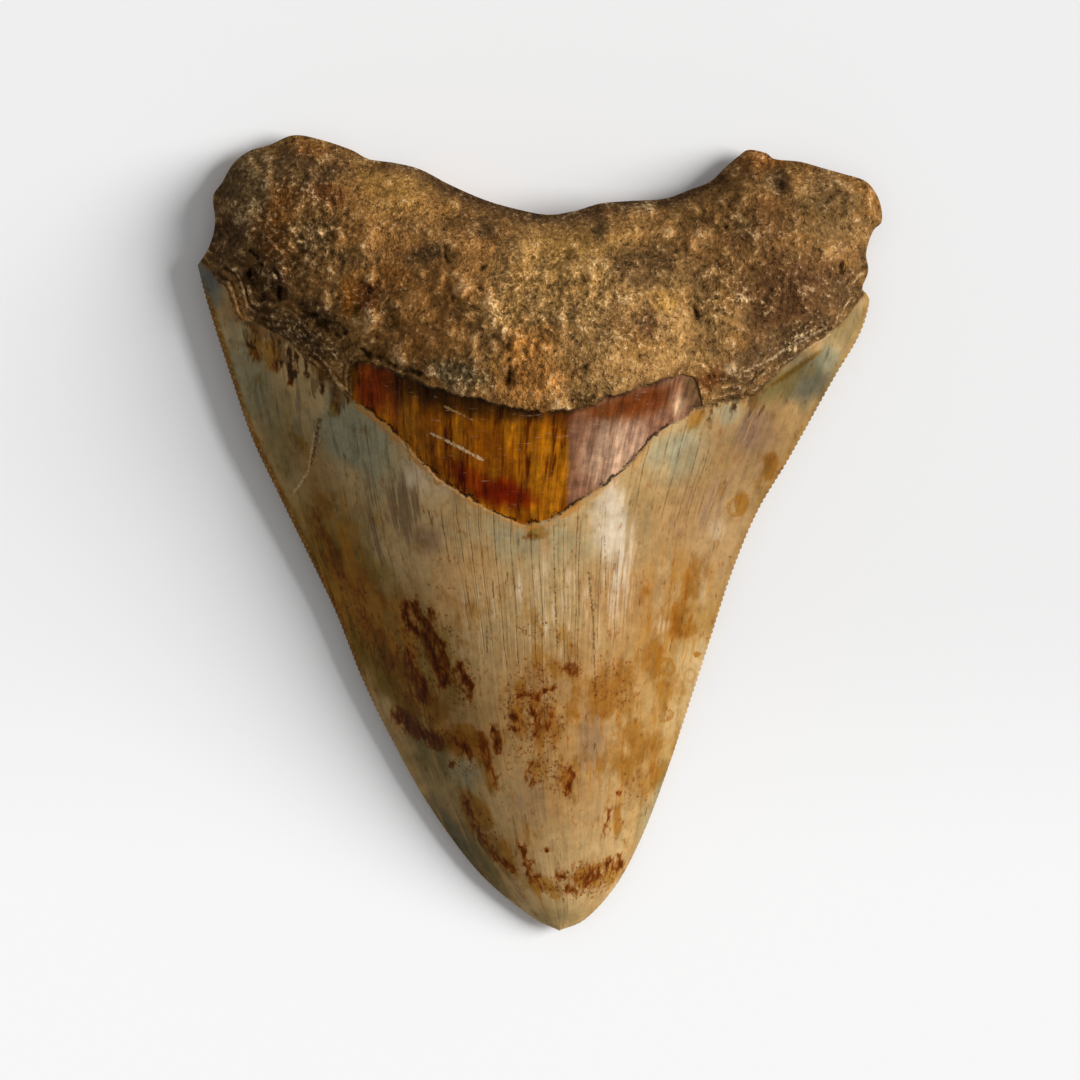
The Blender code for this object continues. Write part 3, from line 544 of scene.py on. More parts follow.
EDGES = [smooth_curve(points, DENSE) for points in (LEFT_EDGE, RIGHT_EDGE)]
MARGIN = smooth_curve(ROOT_MARGIN, DENSE)
CUTTING_EDGES = Border(np.vstack(EDGES))
OUTLINE = Border(np.vstack([EDGES[0], EDGES[1][1:], MARGIN[1:-1]]))
OUTLINE_NORMALS = outward(OUTLINE.line)
ENAMEL_EDGE = Border(ENAMEL_LINE)
LABIAL_EDGE = Border(LABIAL_LINE)
BESIDE_BOURLETTE = (ENAMEL_LINE[:, 0] < ROOT_LINE[0, 0]) | (ENAMEL_LINE[:, 0] > ROOT_LINE[-1, 0])
ROOT_EDGE = Border(np.vstack([ENAMEL_LINE[BESIDE_BOURLETTE], ROOT_LINE]))
LEDGE_EDGE = Border(LEDGE_LINE)
SOFT_BORDER = smooth_curve(ENAMEL_BORDER, 1.5)


def root_border(x):
    """The y of the root's lower margin on the lingual face, which leaves the enamel's at the bourlette."""
    enamel = height_on(ENAMEL_LINE, x)
    over = (x > ROOT_LINE[0, 0]) & (x < ROOT_LINE[-1, 0])
    return np.where(over, np.maximum(enamel, height_on(ROOT_LINE, x)), enamel)


def above(border, x, y, line_y=None):
    """How far each point is above a left-to-right border: negative below it."""
    line_y = height_on(border.line, x) if line_y is None else line_y
    return border.nearest(x, y)[1] * np.where(y > line_y, 1, -1)


def inside_depth(x, y):
    """How far each point is inside the outline: negative outside it."""
    index, distance = OUTLINE.nearest(x, y)
    away = np.column_stack([x, y]) - OUTLINE.line[index]
    return distance * np.where((away * OUTLINE_NORMALS[index]).sum(1) > 0, -1, 1)


def soft_depth(x, y):
    """A depth inside the outline that has no creases: close to the distance near a side, less farther in.

    It is the sum, over the outline's sides, of one over the distance to the fifth power, turned back into a
    distance.
    """
    corners = OUTLINE.line[::6]
    corners = corners[corners[:, 1] > -20]
    sides = np.roll(corners, -1, axis=0) - corners
    length = np.linalg.norm(sides, axis=1)
    total = np.zeros(len(x))
    for (sx, sy), (rx, ry), side in zip(corners, sides / length[:, None], length):
        if side > 5:
            continue
        along = (x - sx) * rx + (y - sy) * ry
        off = np.maximum(abs((y - sy) * rx - (x - sx) * ry), 0.01)
        first = along / np.hypot(along, off)
        last = (along - side) / np.hypot(along - side, off)
        total += ((first - last) - (first**3 - last**3) / 3) / off**4
    return (0.75 * np.maximum(total, 1e-9)) ** -0.25


# ---- the two faces, as heights over the floor ----

def crown_sides(y):
    """The middle of the crown at each y, and half of its width."""
    left = np.interp(y, LEFT_LINE[:, 1], LEFT_LINE[:, 0])
    right = np.interp(y, RIGHT_LINE[:, 1], RIGHT_LINE[:, 0])
    return (left + right) / 2, (right - left) / 2


def across(x, y):
    """Where a point lies between the cutting edges: -1 on the left one, 1 on the right one."""
    middle, half = crown_sides(y)
    return np.clip((x - middle) / np.maximum(half, 0.05), -1, 1)


def fan(x, y):
    """The sideways place of each point among the growth lines, which draw together toward the tip."""
    middle, half = crown_sides(y)
    return (x - middle) / (np.maximum(half, 3) / FAN_HALF_WIDTH) ** 0.7


def streaks(x, y, width, length):
    """Noise that is drawn out along the growth lines."""
    return noise_at(np.column_stack([fan(x, y) / width, y / length, np.full(len(x), width)]))


def edge_height(y):
    return mix(EDGE_HEIGHT_AT_TIP, EDGE_HEIGHT_AT_SHOULDER, smoothstep(TIP_Y, 30, y))


def root_share(x, y):
    """0 on the crown and 1 on the root, with a soft change over their border."""
    return smoothstep(-3, 8, y - np.interp(x, SOFT_BORDER[:, 0], SOFT_BORDER[:, 1]))


def root_rim_height(x, y):
    rim = mix(NOTCH_RIM_HEIGHT, ROOT_RIM_HEIGHT, smoothstep(6, 28, abs(x)))
    return mix(rim, LOBE_RIM_HEIGHT, smoothstep(50, 57, y))


def rim_height(x, y):
    return mix(edge_height(y), root_rim_height(x, y), root_share(x, y))


def quarter_circle(share):
    return np.sqrt(1 - (1 - np.clip(share, 0, 1)) ** 2)


def root_lumps(x, y):
    """Uneven lumps, less the named pits."""
    rise = np.zeros(len(x))
    for size, height in LUMP_SIZES:
        rise += height * blotches(x, y, size)
    for px, py, radius, depth in PITS:
        rise -= depth * np.exp(-((x - px) ** 2 + (y - py) ** 2) / (radius / 1.5) ** 2)
    return rise


def strand_share(x, over):
    """Where the root has strands beside its border: 1 at the left and the right, 0 over the bourlette."""
    sides = smoothstep(-25, -28, x) + smoothstep(21, 24, x)
    return sides * smoothstep(0, 0.4, over) * smoothstep(mix(4.0, 6.5, x < 0), 2.0, over)


def strands(x, over):
    """Ridges that run along the root's border, from -1 to 1."""
    bend = noise_at(np.column_stack([x / 4, over / 3, np.full(len(x), 5.0)]))
    wave = np.cos(2 * np.pi * (over / STRAND_SPACING + 0.9 * bend))
    kept = smoothstep(-0.2, 0.3, noise_at(np.column_stack([x / 3, over / 0.9, np.zeros(len(x))]), 2.0))
    return wave * kept


def root_grain(x, y):
    """The root's grains, from about -1 to 1 at each size: bolder where the root is gritty."""
    bold = 0.6 + 0.6 * smoothstep(-0.3, 0.35, blotches(x, y, 7.0, 1.0)) + 0.5 * density(GRIT, x, y, 0.0)
    bold *= mix(1, 0.4, density(SMOOTH_PATCHES, x, y, 0.0))
    grains = []
    for size, _ in GRAINS:
        wave = noise_at(np.column_stack([x, y, np.full(len(x), 4 * size)]) / size)
        grains.append(bold * (1.3 * abs(wave) + 0.8 * wave - 0.4))
    return grains


def along_lines(lines, x, y, wander, softness):
    """How strongly each point is on the named lines: each line's strength, less toward its sides."""
    cover = np.zeros(len(x))
    for width, strength, points in lines:
        line = smooth_curve(points, DENSE)
        low, high = line.min(0) - 2 * width, line.max(0) + 2 * width
        near = (x > low[0]) & (x < high[0]) & (y > low[1]) & (y < high[1])
        off = Border(line).nearest(x[near], y[near])[1] + width * wander[near]
        cover[near] = np.maximum(cover[near], strength * smoothstep(width * softness, width * 0.1, off))
    return cover


def hollowed(x, y):
    """The depth of the named holes and crevices."""
    depth = np.zeros(len(x))
    wander = 0.5 * blotches(x, y, 0.8)
    for gx, gy, length, width, turn, deepest in HOLES:
        radius = ellipse_radius(x, y, gx, gy, length / 2, width / 2, turn) + wander
        depth = np.maximum(depth, deepest * smoothstep(1.3, 0.6, radius))
    patchy = smoothstep(-0.25, 0.25, blotches(x, y, 1.3, 3.0))
    return np.maximum(depth, along_lines(CREVICES, x, y, wander, 0.8) * mix(0.3, 1, patchy))


def root_relief(x, y, over):
    """The height of the root's grains, strands, holes and crevices."""
    share = strand_share(x, over)
    rise = share * STRAND_HEIGHT * strands(x, over)
    for (_, height), grain in zip(GRAINS, root_grain(x, y)):
        rise += height * grain * (1 - 0.6 * share)
    return rise - hollowed(x, y)


def ellipse_radius(x, y, centre_x, centre_y, radius_x, radius_y, turn):
    """The distance from an ellipse's centre, as a share of its radius that way."""
    c, s = math.cos(math.radians(turn)), math.sin(math.radians(turn))
    u = (x - centre_x) * c + (y - centre_y) * s
    v = (y - centre_y) * c - (x - centre_x) * s
    return np.hypot(u / radius_x, v / radius_y)


def enamel_ripples(x, y):
    return sum(height * streaks(x, y, width, length) for width, length, height in ENAMEL_RIPPLES)


def crown_form(y, s):
    """The crown's swell: s is 0 down the middle and 1 on the cutting edges."""
    bulge = CROWN_BULGE * (1 - np.exp(-(y - TIP_Y) / CROWN_BULGE_LENGTH))
    return edge_height(y) + bulge * (1 - s**CROWN_ROUNDNESS) ** 1.25


def root_form(x, y, depth):
    """The root's bulge, which rises from its rim with the depth inside the outline."""
    px, py, rise = PROTUBERANCE
    sx, sy = PROTUBERANCE_SPREAD
    top = ROOT_HEIGHT + rise * np.exp(-(((x - px) / sx) ** 2) - ((y - py) / sy) ** 2)
    low = root_rim_height(x, y)
    swell_length = mix(SWELL_LENGTH_AT_NOTCH, SWELL_LENGTH_AT_LOBE, smoothstep(8, 36, abs(x)))
    return low + (top - low) * (1 - np.exp(-depth / swell_length))


def root_cover(x, y, over):
    """How far the root stands over the crown: less under the ledge, and by the border's right part."""
    along_ledge = smoothstep(LEDGE[0][0], LEDGE[0][0] + 5, x) * smoothstep(0, 5, LEDGE[-1][0] - x)
    under_ledge = along_ledge * smoothstep(-0.25, 0.25, -above(LEDGE_EDGE, x, y))
    low_side = smoothstep(14, 23, x) * smoothstep(6, 0.5, over)
    return (ROOT_STEP + root_lumps(x, y) - LEDGE_DROP * under_ledge) * (1 - 0.65 * low_side)


def lingual_height(x, y):
    """The convex upper face: the crown's swell, the root's bulge, and the steps between their surfaces."""
    s = abs(across(x, y))
    share = root_share(x, y)
    depth = np.zeros(len(x))
    depth[share > 0] = soft_depth(x[share > 0], y[share > 0])
    height = mix(crown_form(y, s), root_form(x, y, depth), share)
    step = STEP_HALF_WIDTH
    over_root_edge = above(ROOT_EDGE, x, y, root_border(x))
    over_enamel_edge = above(ENAMEL_EDGE, x, y)
    on_root = smoothstep(0, ROOT_STEP_WIDTH, depth) * smoothstep(-step, step, over_root_edge)
    on_root *= root_cover(x, y, over_root_edge)
    height = height + on_root + smoothstep(-step, step, -over_enamel_edge) * ENAMEL_STEP * (1 - s**4)
    grained = over_root_edge > -step
    over = over_root_edge[grained]
    relief = root_relief(x[grained], y[grained], over)
    height[grained] += relief * smoothstep(-step, 0.4, over) * smoothstep(0, 1.0, inside_depth(x, y)[grained])
    height[~grained] += enamel_ripples(x[~grained], y[~grained])
    return height


def labial_height(x, y):
    """The lower face, worn flat where it rests: down the middle of the crown and under each root lobe."""
    s = abs(across(x, y))
    crown_floor = mix(1.4, -WORN_FLAT, smoothstep(TIP_Y, -30, y))
    crown = mix(edge_height(y), crown_floor, (1 - s**CROWN_ROUNDNESS) ** 0.9)
    root_floor = mix(1.2, -WORN_FLAT, smoothstep(10, 26, abs(x)))
    root = mix(root_rim_height(x, y), root_floor, quarter_circle(inside_depth(x, y) / LABIAL_RADIUS))
    share = smoothstep(-4, 8, y - height_on(LABIAL_LINE, x))
    return np.maximum(mix(crown, root, share), 0)


# ---- the mesh ----

def serrated(points):
    """A cutting edge with rounded serrations and sharp gullets between them."""
    line = smooth_curve(points, SERRATION_PITCH / SERRATION_STEPS)
    along = np.arange(len(line)) * SERRATION_PITCH / SERRATION_STEPS
    fade = smoothstep(0, SERRATION_FADE, np.minimum(along, along[-1] - along))
    wave = abs(np.cos(np.pi * along / SERRATION_PITCH)) - 0.6
    depth = SERRATION_DEPTH * mix(0.2, 1, smoothstep(WORN_BELOW - 12, WORN_BELOW, line[:, 1]))
    return line + outward(line) * (wave * fade * depth)[:, None]


def honeycomb(spacing):
    """A field of points in even triangles over the whole tooth."""
    rows = np.arange(-60, 61, spacing * np.sqrt(3) / 2)
    columns = np.arange(-53, 53, spacing)
    x, y = np.meshgrid(columns, rows)
    x[1::2] += spacing / 2
    return np.column_stack([x.ravel(), y.ravel()])


def clear_of(points, others, gap):
    """The points that keep this gap to all of the others."""
    return points[Border(others).nearest(*points.T)[1] > gap]


def inset(line, depth, spacing):
    """Points at a depth inside a stretch of the outline."""
    row = line[:: max(1, round(spacing / DENSE))]
    row = row - outward(row) * depth
    return row[inside_depth(*row.T) > 0.9 * depth]


def rows_astride(line, spacing):
    """Two rows of points astride a border, which make its step a crisp one."""
    row = smooth_curve(line[:: round(spacing / DENSE)], spacing)
    side = outward(row) * STEP_HALF_WIDTH
    rows = np.vstack([row + side, row - side])
    return rows[inside_depth(*rows.T) > 0.8]


def face_points(border_lines, split_line, root_spacing, crown_spacing):
    """All points inside the rim on one face: finer above the split line than below it."""
    kept = np.vstack([inset(line, 0.22, 0.3) for line in (*EDGES, MARGIN)])
    for line in border_lines:
        rows = rows_astride(line, root_spacing)
        kept = np.vstack([kept, clear_of(rows, kept, 0.15)])
    for spacing, upper in ((root_spacing, True), (crown_spacing, False)):
        field = honeycomb(spacing)
        field = field[(field[:, 1] > height_on(split_line, field[:, 0]) - 1.5) == upper]
        field = field[inside_depth(*field.T) > 0.3]
        kept = np.vstack([kept, clear_of(field, kept, 0.6 * spacing)])
    return kept


def triangles(rim, points):
    """Delaunay triangles, as indices into rim and then points, all inside the rim."""
    every = [Vector(p) for p in np.vstack([rim, points])]
    _, _, faces, sources, _, _ = delaunay_2d_cdt(every, [], [list(range(len(rim)))], 1, 1e-6)
    return np.array([[sources[i][0] for i in face] for face in faces])


def split_long_edges(xyz, faces, height, fixed):
    """Halves each edge that is too long, and lifts its middle to the surface.

    An edge between two of the fixed points, which are the first ones, stays whole.
    """
    edges = np.sort(np.vstack([faces[:, (0, 1)], faces[:, (1, 2)], faces[:, (2, 0)]]), axis=1)
    edges, which = np.unique(edges, axis=0, return_inverse=True)
    length = np.linalg.norm(xyz[edges[:, 0]] - xyz[edges[:, 1]], axis=1)
    long = (length > LONGEST_EDGE) & (edges[:, 1] >= fixed)
    if not long.any():
        return xyz, faces, 0
    middle = xyz[edges[long]].mean(1)[:, :2]
    new = np.full(len(edges), -1)
    new[long] = len(xyz) + np.arange(long.sum())
    xyz = np.vstack([xyz, np.column_stack([middle, height(*middle.T)])])
    corner_splits = new[which.reshape(3, -1).T]
    made = []
    for (a, b, c), (ab, bc, ca) in zip(faces.tolist(), corner_splits.tolist()):
        loop = [i for i in (a, ab, b, bc, c, ca) if i >= 0]
        if len(loop) == 3:
            made.append(loop)
        elif len(loop) == 6:
            made += [(a, ab, ca), (ab, b, bc), (bc, c, ca), (ab, bc, ca)]
        else:
            start = next(i for i, k in enumerate(loop) if k >= len(xyz) - long.sum())
            loop = loop[start:] + loop[:start]
            made += [(loop[0], loop[i], loop[i + 1]) for i in range(1, len(loop) - 1)]
    return xyz, np.array(made), long.sum()


def face_mesh(rim, points, height):
    """One face of the tooth as points and triangles, with no long triangle on its steep walls."""
    xyz = np.vstack([rim, np.column_stack([points, height(*points.T)])])
    faces = triangles(rim[:, :2], points)
    for _ in range(MOST_HALVINGS):
        xyz, faces, count = split_long_edges(xyz, faces, height, len(rim))
        if not count:
            break
    return xyz, faces


def tooth_surface():
    """The whole closed surface: its points, its triangles, and which points are on the lingual face."""
    left, right = serrated(LEFT_EDGE), serrated(RIGHT_EDGE)
    margin = smooth_curve(ROOT_MARGIN, MARGIN_SPACING)[1:-1]
    rim = np.vstack([left, right[1:], margin])
    rim = np.column_stack([rim, rim_height(*rim.T)])
    upper_points = face_points((ENAMEL_LINE, ROOT_LINE), ENAMEL_LINE, ROOT_SPACING, CROWN_SPACING)
    lower_points = face_points((LABIAL_LINE,), LABIAL_LINE, LABIAL_ROOT_SPACING, LABIAL_CROWN_SPACING)
    upper, upper_faces = face_mesh(rim, upper_points, lingual_height)
    lower, lower_faces = face_mesh(rim, lower_points, labial_height)
    shift = len(upper) - len(rim)
    lower_faces = np.where(lower_faces < len(rim), lower_faces, lower_faces + shift)[:, ::-1]
    xyz = np.vstack([upper, lower[len(rim):]])
    return xyz, np.vstack([upper_faces, lower_faces]), np.arange(len(xyz)) < len(upper)


def added(name, data):
    """A new object in the scene."""
    made = bpy.data.objects.new(name, data)
    bpy.context.scene.collection.objects.link(made)
    return made


def tooth():
    xyz, faces, is_upper = tooth_surface()
    mesh = bpy.data.meshes.new("tooth_surface")
    mesh.from_pydata((xyz * MM).tolist(), [], faces.tolist())
    mesh.shade_smooth()
    paint(mesh, xyz, is_upper)
    print("tooth", len(xyz), "points", len(faces), "triangles")
    return added("tooth_surface", mesh)


# ---- painting the surface ----

def linear(colour):
    value = np.array(colour) / 255
    return np.where(value <= 0.04045, value / 12.92, ((value + 0.055) / 1.055) ** 2.4)


def plain(tint):
    """A colour by its name. An array of colours stays as it is."""
    return np.array(COLOURS[tint], float) if isinstance(tint, str) else tint


def washed(tint, wash, share):
    """Mixes two tints, by each point's share of the second one."""
    return mix(plain(tint), plain(wash), share[:, None])


def painted(tint, strokes, x, y, wander, within):
    """Lays each stroke over the tint, with an edge that wanders by noise."""
    for name, sx, sy, along, across_it, turn, strength in strokes:
        radius = ellipse_radius(x, y, sx, sy, along, across_it, turn) + wander
        share = within * strength * smoothstep(1.5, 0.4, radius)
        tint = washed(tint, name, share)
    return tint


def density(patches, x, y, base):
    """How dense a texture is: its base value, or more in the named patches."""
    made = np.full(len(x), base)
    for px, py, along, across_it, turn, amount in patches:
        radius = ellipse_radius(x, y, px, py, along, across_it, turn)
        made = np.maximum(made, amount * smoothstep(1.5, 0.4, radius))
    return made


def within_triangle(corners, x, y, soft):
    """1 inside a triangle and 0 outside it, with soft sides."""
    inside = np.full(len(x), 9.0)
    middle_x, middle_y = np.mean(corners, 0)
    for (ax, ay), (bx, by) in zip(corners, corners[1:] + corners[:1]):
        normal = np.array((by - ay, ax - bx)) / math.hypot(bx - ax, by - ay)
        side = np.sign((middle_x - ax) * normal[0] + (middle_y - ay) * normal[1])
        inside = np.minimum(inside, side * ((x - ax) * normal[0] + (y - ay) * normal[1]))
    return smoothstep(-soft, soft, inside)


def streaked(strokes, x, y):
    """The colour of the streaks at each point, and the share of the surface that they cover."""
    colour = np.tile(plain("tan"), (len(x), 1))
    cover = np.full(len(x), 0.3)
    for name, sx, sy, along, across_it, turn, amount in strokes:
        share = smoothstep(1.5, 0.5, ellipse_radius(x, y, sx, sy, along, across_it, turn))
        colour = washed(colour, name, share)
        cover = mix(cover, amount, share)
    return colour, cover


def enamel_tint(x, y, coarse, broad, wander, rim):
    warm = smoothstep(0.0, 0.5, coarse + 0.5 * broad)
    tint = washed("cream", "tan", 0.5 * warm)
    tint = painted(tint, ENAMEL_STROKES, x, y, wander, np.ones(len(x)))
    band = smoothstep(1.3, 0.5, rim / (0.8 + 0.4 * wander))
    left = 0.8 * band * (x < CROWN_MIDDLE) * smoothstep(-30, -4, y) * smoothstep(39, 33, y)
    right = 0.25 * band * (x > CROWN_MIDDLE) * smoothstep(-20, 0, y)
    tint = washed(tint, "amber stain", left)
    tint = washed(tint, "golden", right)
    # Tan dots along the left cutting edge, one at each serration: a painted highlight on the serrations'
    # rounded tops.
    bead = np.cos(2 * np.pi * CUTTING_EDGES.nearest(x, y)[0] * DENSE / SERRATION_PITCH)
    serration_highlight = smoothstep(0.0, 0.7, bead + 0.5 * blotches(x, y, 1.2)) * smoothstep(0.55, 0.25, rim)
    serration_highlight *= (x < CROWN_MIDDLE) * smoothstep(-34, -20, y) * smoothstep(39, 36, y)
    return washed(tint, "tan", 0.8 * serration_highlight)


def spur_share(x, over):
    """Where dark spurs hang below the root's border: 1 at the border and 0 a few millimetres below."""
    left = smoothstep(-26, -30, x) * smoothstep(-46, -43, x)
    right = 0.7 * smoothstep(22, 24, x) * smoothstep(37, 33, x)
    return (left + right) * smoothstep(-5.0, -0.3, over) * (over < 0)


def bourlette_tint(x, y, middle, narrow, broad):
    """The band's tint, and how much of it is the paler right part."""
    amber = washed("amber", "gold", smoothstep(-0.3, 0.4, narrow + 0.6 * broad))
    pink = smoothstep(3.8, 4.4, x + 0.2 * broad)
    tint = washed(amber, "mauve brown", pink)
    return painted(tint, BOURLETTE_STROKES, x, y, 0.2 * middle + 0.25 * narrow, np.ones(len(x))), pink


def root_tint(x, y, fine, middle, coarse, rim):
    tint = washed("brown", "ochre", 0.7 * smoothstep(-0.2, 0.5, coarse))
    tint = washed(tint, "rust", 0.22 * smoothstep(0.05, 0.45, blotches(x, y, 3.2, 6.0)))
    tint = painted(tint, ROOT_STROKES, x, y, 0.45 * middle + 0.3 * fine, np.ones(len(x)))
    # A darker band along the notch's rim: painted shade where the rounded rim turns away from the light.
    notch_rim_shade = smoothstep(2.4, 0.4, rim + 0.6 * middle) * smoothstep(38, 46, y) * smoothstep(34, 20, abs(x))
    tint = washed(tint, "earth", 0.75 * notch_rim_shade)
    worn = smoothstep(0.1, 0.5, blotches(x, y, 4.4, 9.0) + 0.3 * fine)
    tint = washed(tint, 0.74 * tint, 0.45 * worn)
    yellowed = smoothstep(0.15, 0.5, blotches(x, y, 2.6, 12.0) + 0.3 * fine)
    return washed(tint, "sand", 0.2 * yellowed)


def lingual_paint(x, y):
    """The upper face's tint, and the measures that its material reads."""
    over_root = above(ROOT_EDGE, x, y, root_border(x))
    over_enamel = above(ENAMEL_EDGE, x, y)
    root = (over_root > 0).astype(float)
    bourlette = (1 - root) * (over_enamel > 0)
    enamel = 1 - root - bourlette
    fine, middle, coarse = blotches(x, y, 0.8), blotches(x, y, 2.2), blotches(x, y, 6.0)
    narrow, broad = streaks(x, y, 0.7, 6.0), streaks(x, y, 1.9, 12.0)
    rim = inside_depth(x, y)
    wander = 0.30 * middle + 0.30 * broad + 0.22 * narrow
    band, pink = bourlette_tint(x, y, middle, narrow, broad)
    tint = enamel_tint(x, y, coarse, broad, wander, rim)
    tint = washed(tint, band, bourlette)
    tint = washed(tint, root_tint(x, y, fine, middle, coarse, rim), root)
    beside = (x > ROOT_LINE[0, 0]) & (x < ROOT_LINE[-1, 0])
    streak_tint, streak_cover = streaked(STREAK_STROKES, x, y)
    lumps, grains, fine_grains = root_grain(x, y)
    lumpy = 0.45 * lumps + 0.55 * grains + 0.35 * fine_grains
    strand_cover = strand_share(x, over_root)
    clean = within_triangle(CLEAN_CORNER, x, y, 0.3)
    dark_lines = along_lines(STAIN_LINES, x, y, 0.25 * fine, 1.3)
    return {
        "tint": linear(np.clip(tint, 0, 255)),
        "streak_tint": linear(streak_tint),
        "streak_cover": streak_cover * enamel,
        # The relief and the strands are read by the material, which paints shade into their hollows and light
        # onto their raised parts.
        "relief": root * (lumpy * (1 - 0.5 * strand_cover) - 1.4 * hollowed(x, y)),
        "strand": strands(x, over_root) * strand_cover,
        "spur": spur_share(x, over_root),
        "root": root,
        "bourlette": bourlette * mix(1.0, 0.55, pink),
        "lip": over_enamel,
        "lip_strength": np.where(beside & (x < 19), mix(1.0, 0.45, smoothstep(4, 12, x)), 0.15),
        "root_lip": over_root - 2.0 * smoothstep(19.5, 21.5, x) * smoothstep(26.0, 24.0, x),
        "fan": fan(x, y),
        "golden": density(GOLDEN_STAINS, x, y, 0.03) * enamel * (1 - clean) - 0.4 * clean,
        "dark": np.maximum(density(DARK_STAINS, x, y, 0.0), dark_lines) * enamel,
        "speckle": density(SPECKLES, x, y, 0.03) * enamel,
        "cracks": density(CRACKS, x, y, 0.2),
        "grit": density(GRIT, x, y, 0.35) * root,
    }


def labial_paint(x, y):
    """The lower face's tint and measures: the same as the upper face's, and quieter."""
    over = above(LABIAL_EDGE, x, y)
    root = (over > 0).astype(float)
    middle, coarse, large = blotches(x, y, 2.2), blotches(x, y, 6.0), blotches(x, y, 15.0)
    narrow, broad = streaks(x, y, 0.9, 7.0), streaks(x, y, 2.2, 14.0)
    tint = washed("cream", "tan", 0.8 * smoothstep(-0.2, 0.5, coarse + broad))
    tint = washed(tint, "olive", 0.5 * smoothstep(0.0, 0.6, large + 0.5 * broad))
    tint = painted(tint, LABIAL_STROKES, x, y, 0.4 * middle + 0.4 * narrow, 1 - root)
    earthy = washed("ochre", "umber", smoothstep(-0.7, 0.5, large + 0.35 * coarse))
    earthy = washed(earthy, "rust", 0.5 * smoothstep(0.1, 0.5, blotches(x, y, 4.4, 9.0)))
    tint = washed(tint, earthy, root)
    stained = smoothstep(-0.1, 0.5, large + 0.4 * coarse)
    enamel = 1 - root
    golden = mix(0.1, 0.5, smoothstep(-0.3, 0.6, broad + 0.5 * coarse))
    nothing = np.zeros(len(x))
    return {
        "tint": linear(tint),
        "streak_tint": linear(0.8 * tint),
        "streak_cover": 0.4 * enamel,
        "relief": 0.6 * middle * root,
        "strand": nothing,
        "spur": nothing,
        "root": root,
        "bourlette": nothing,
        "lip": over,
        "lip_strength": nothing + 0.15,
        "root_lip": over,
        "fan": fan(x, y),
        "golden": golden * stained * enamel,
        "dark": 0.6 * smoothstep(0.2, 0.6, middle + 0.3 * narrow) * stained * enamel,
        "speckle": 0.6 * smoothstep(0.0, 0.5, large) * enamel,
        "cracks": nothing + 0.5,
        "grit": 0.3 * root,
    }


def paint(mesh, xyz, is_upper):
    """Stores both faces' paint on the mesh, for the material to read."""
    upper, lower = xyz[is_upper], xyz[~is_upper]
    above_floor, below = lingual_paint(upper[:, 0], upper[:, 1]), labial_paint(lower[:, 0], lower[:, 1])
    for name, values in above_floor.items():
        every = np.concatenate([values, below[name]])
        if name.endswith("tint"):
            layer = mesh.attributes.new(name, "FLOAT_COLOR", "POINT")
            layer.data.foreach_set("color", np.column_stack([every, np.ones(len(every))]).ravel())
        else:
            layer = mesh.attributes.new(name, "FLOAT", "POINT")
            layer.data.foreach_set("value", every.astype(float))


# ---- the material ----

class Field:
    """A number, place or colour that shader nodes work out at each point. Arithmetic on it adds nodes."""

    def __init__(self, graph, socket):
        self.graph = graph
        self.socket = socket

    def __add__(self, other):
        return self.graph.math("ADD", self, other)

    def __sub__(self, other):
        return self.graph.math("SUBTRACT", self, other)

    def __rsub__(self, other):
        return self.graph.math("SUBTRACT", other, self)

    def __mul__(self, other):
        return self.graph.math("MULTIPLY", self, other)

    def __abs__(self):
        return self.graph.math("ABSOLUTE", self)

    def ramp(self, low, high, low_result=0.0, high_result=1.0):
        """Eases from one result to the other as this number goes from low to high."""
        inputs = {0: self, 1: low, 2: high, 3: low_result, 4: high_result}
        return self.graph.node("ShaderNodeMapRange", inputs, interpolation_type="SMOOTHSTEP")

    def vector_math(self, operation, other=(0, 0, 0), output=0):
        return self.graph.node("ShaderNodeVectorMath", {0: self, 1: other}, output, operation=operation)

    def scaled(self, factor):
        """A place or a colour, times a factor."""
        return self.graph.node("ShaderNodeVectorMath", {0: self, "Scale": factor}, operation="SCALE")

    def shaken(self, size, amount):
        """A place moved by noise of this scale."""
        shift = self.graph.noise(self, size, 3.0, 0.6, "Color")
        return self.vector_math("ADD", shift.scaled(amount))

    def blend(self, colour, share):
        return self.graph.blend(self, colour, share)

    def tinted(self, colour, share):
        """This colour, multiplied by another one where the share is 1."""
        return self.blend(self.graph.blend(self, colour, 1.0, "MULTIPLY"), share)


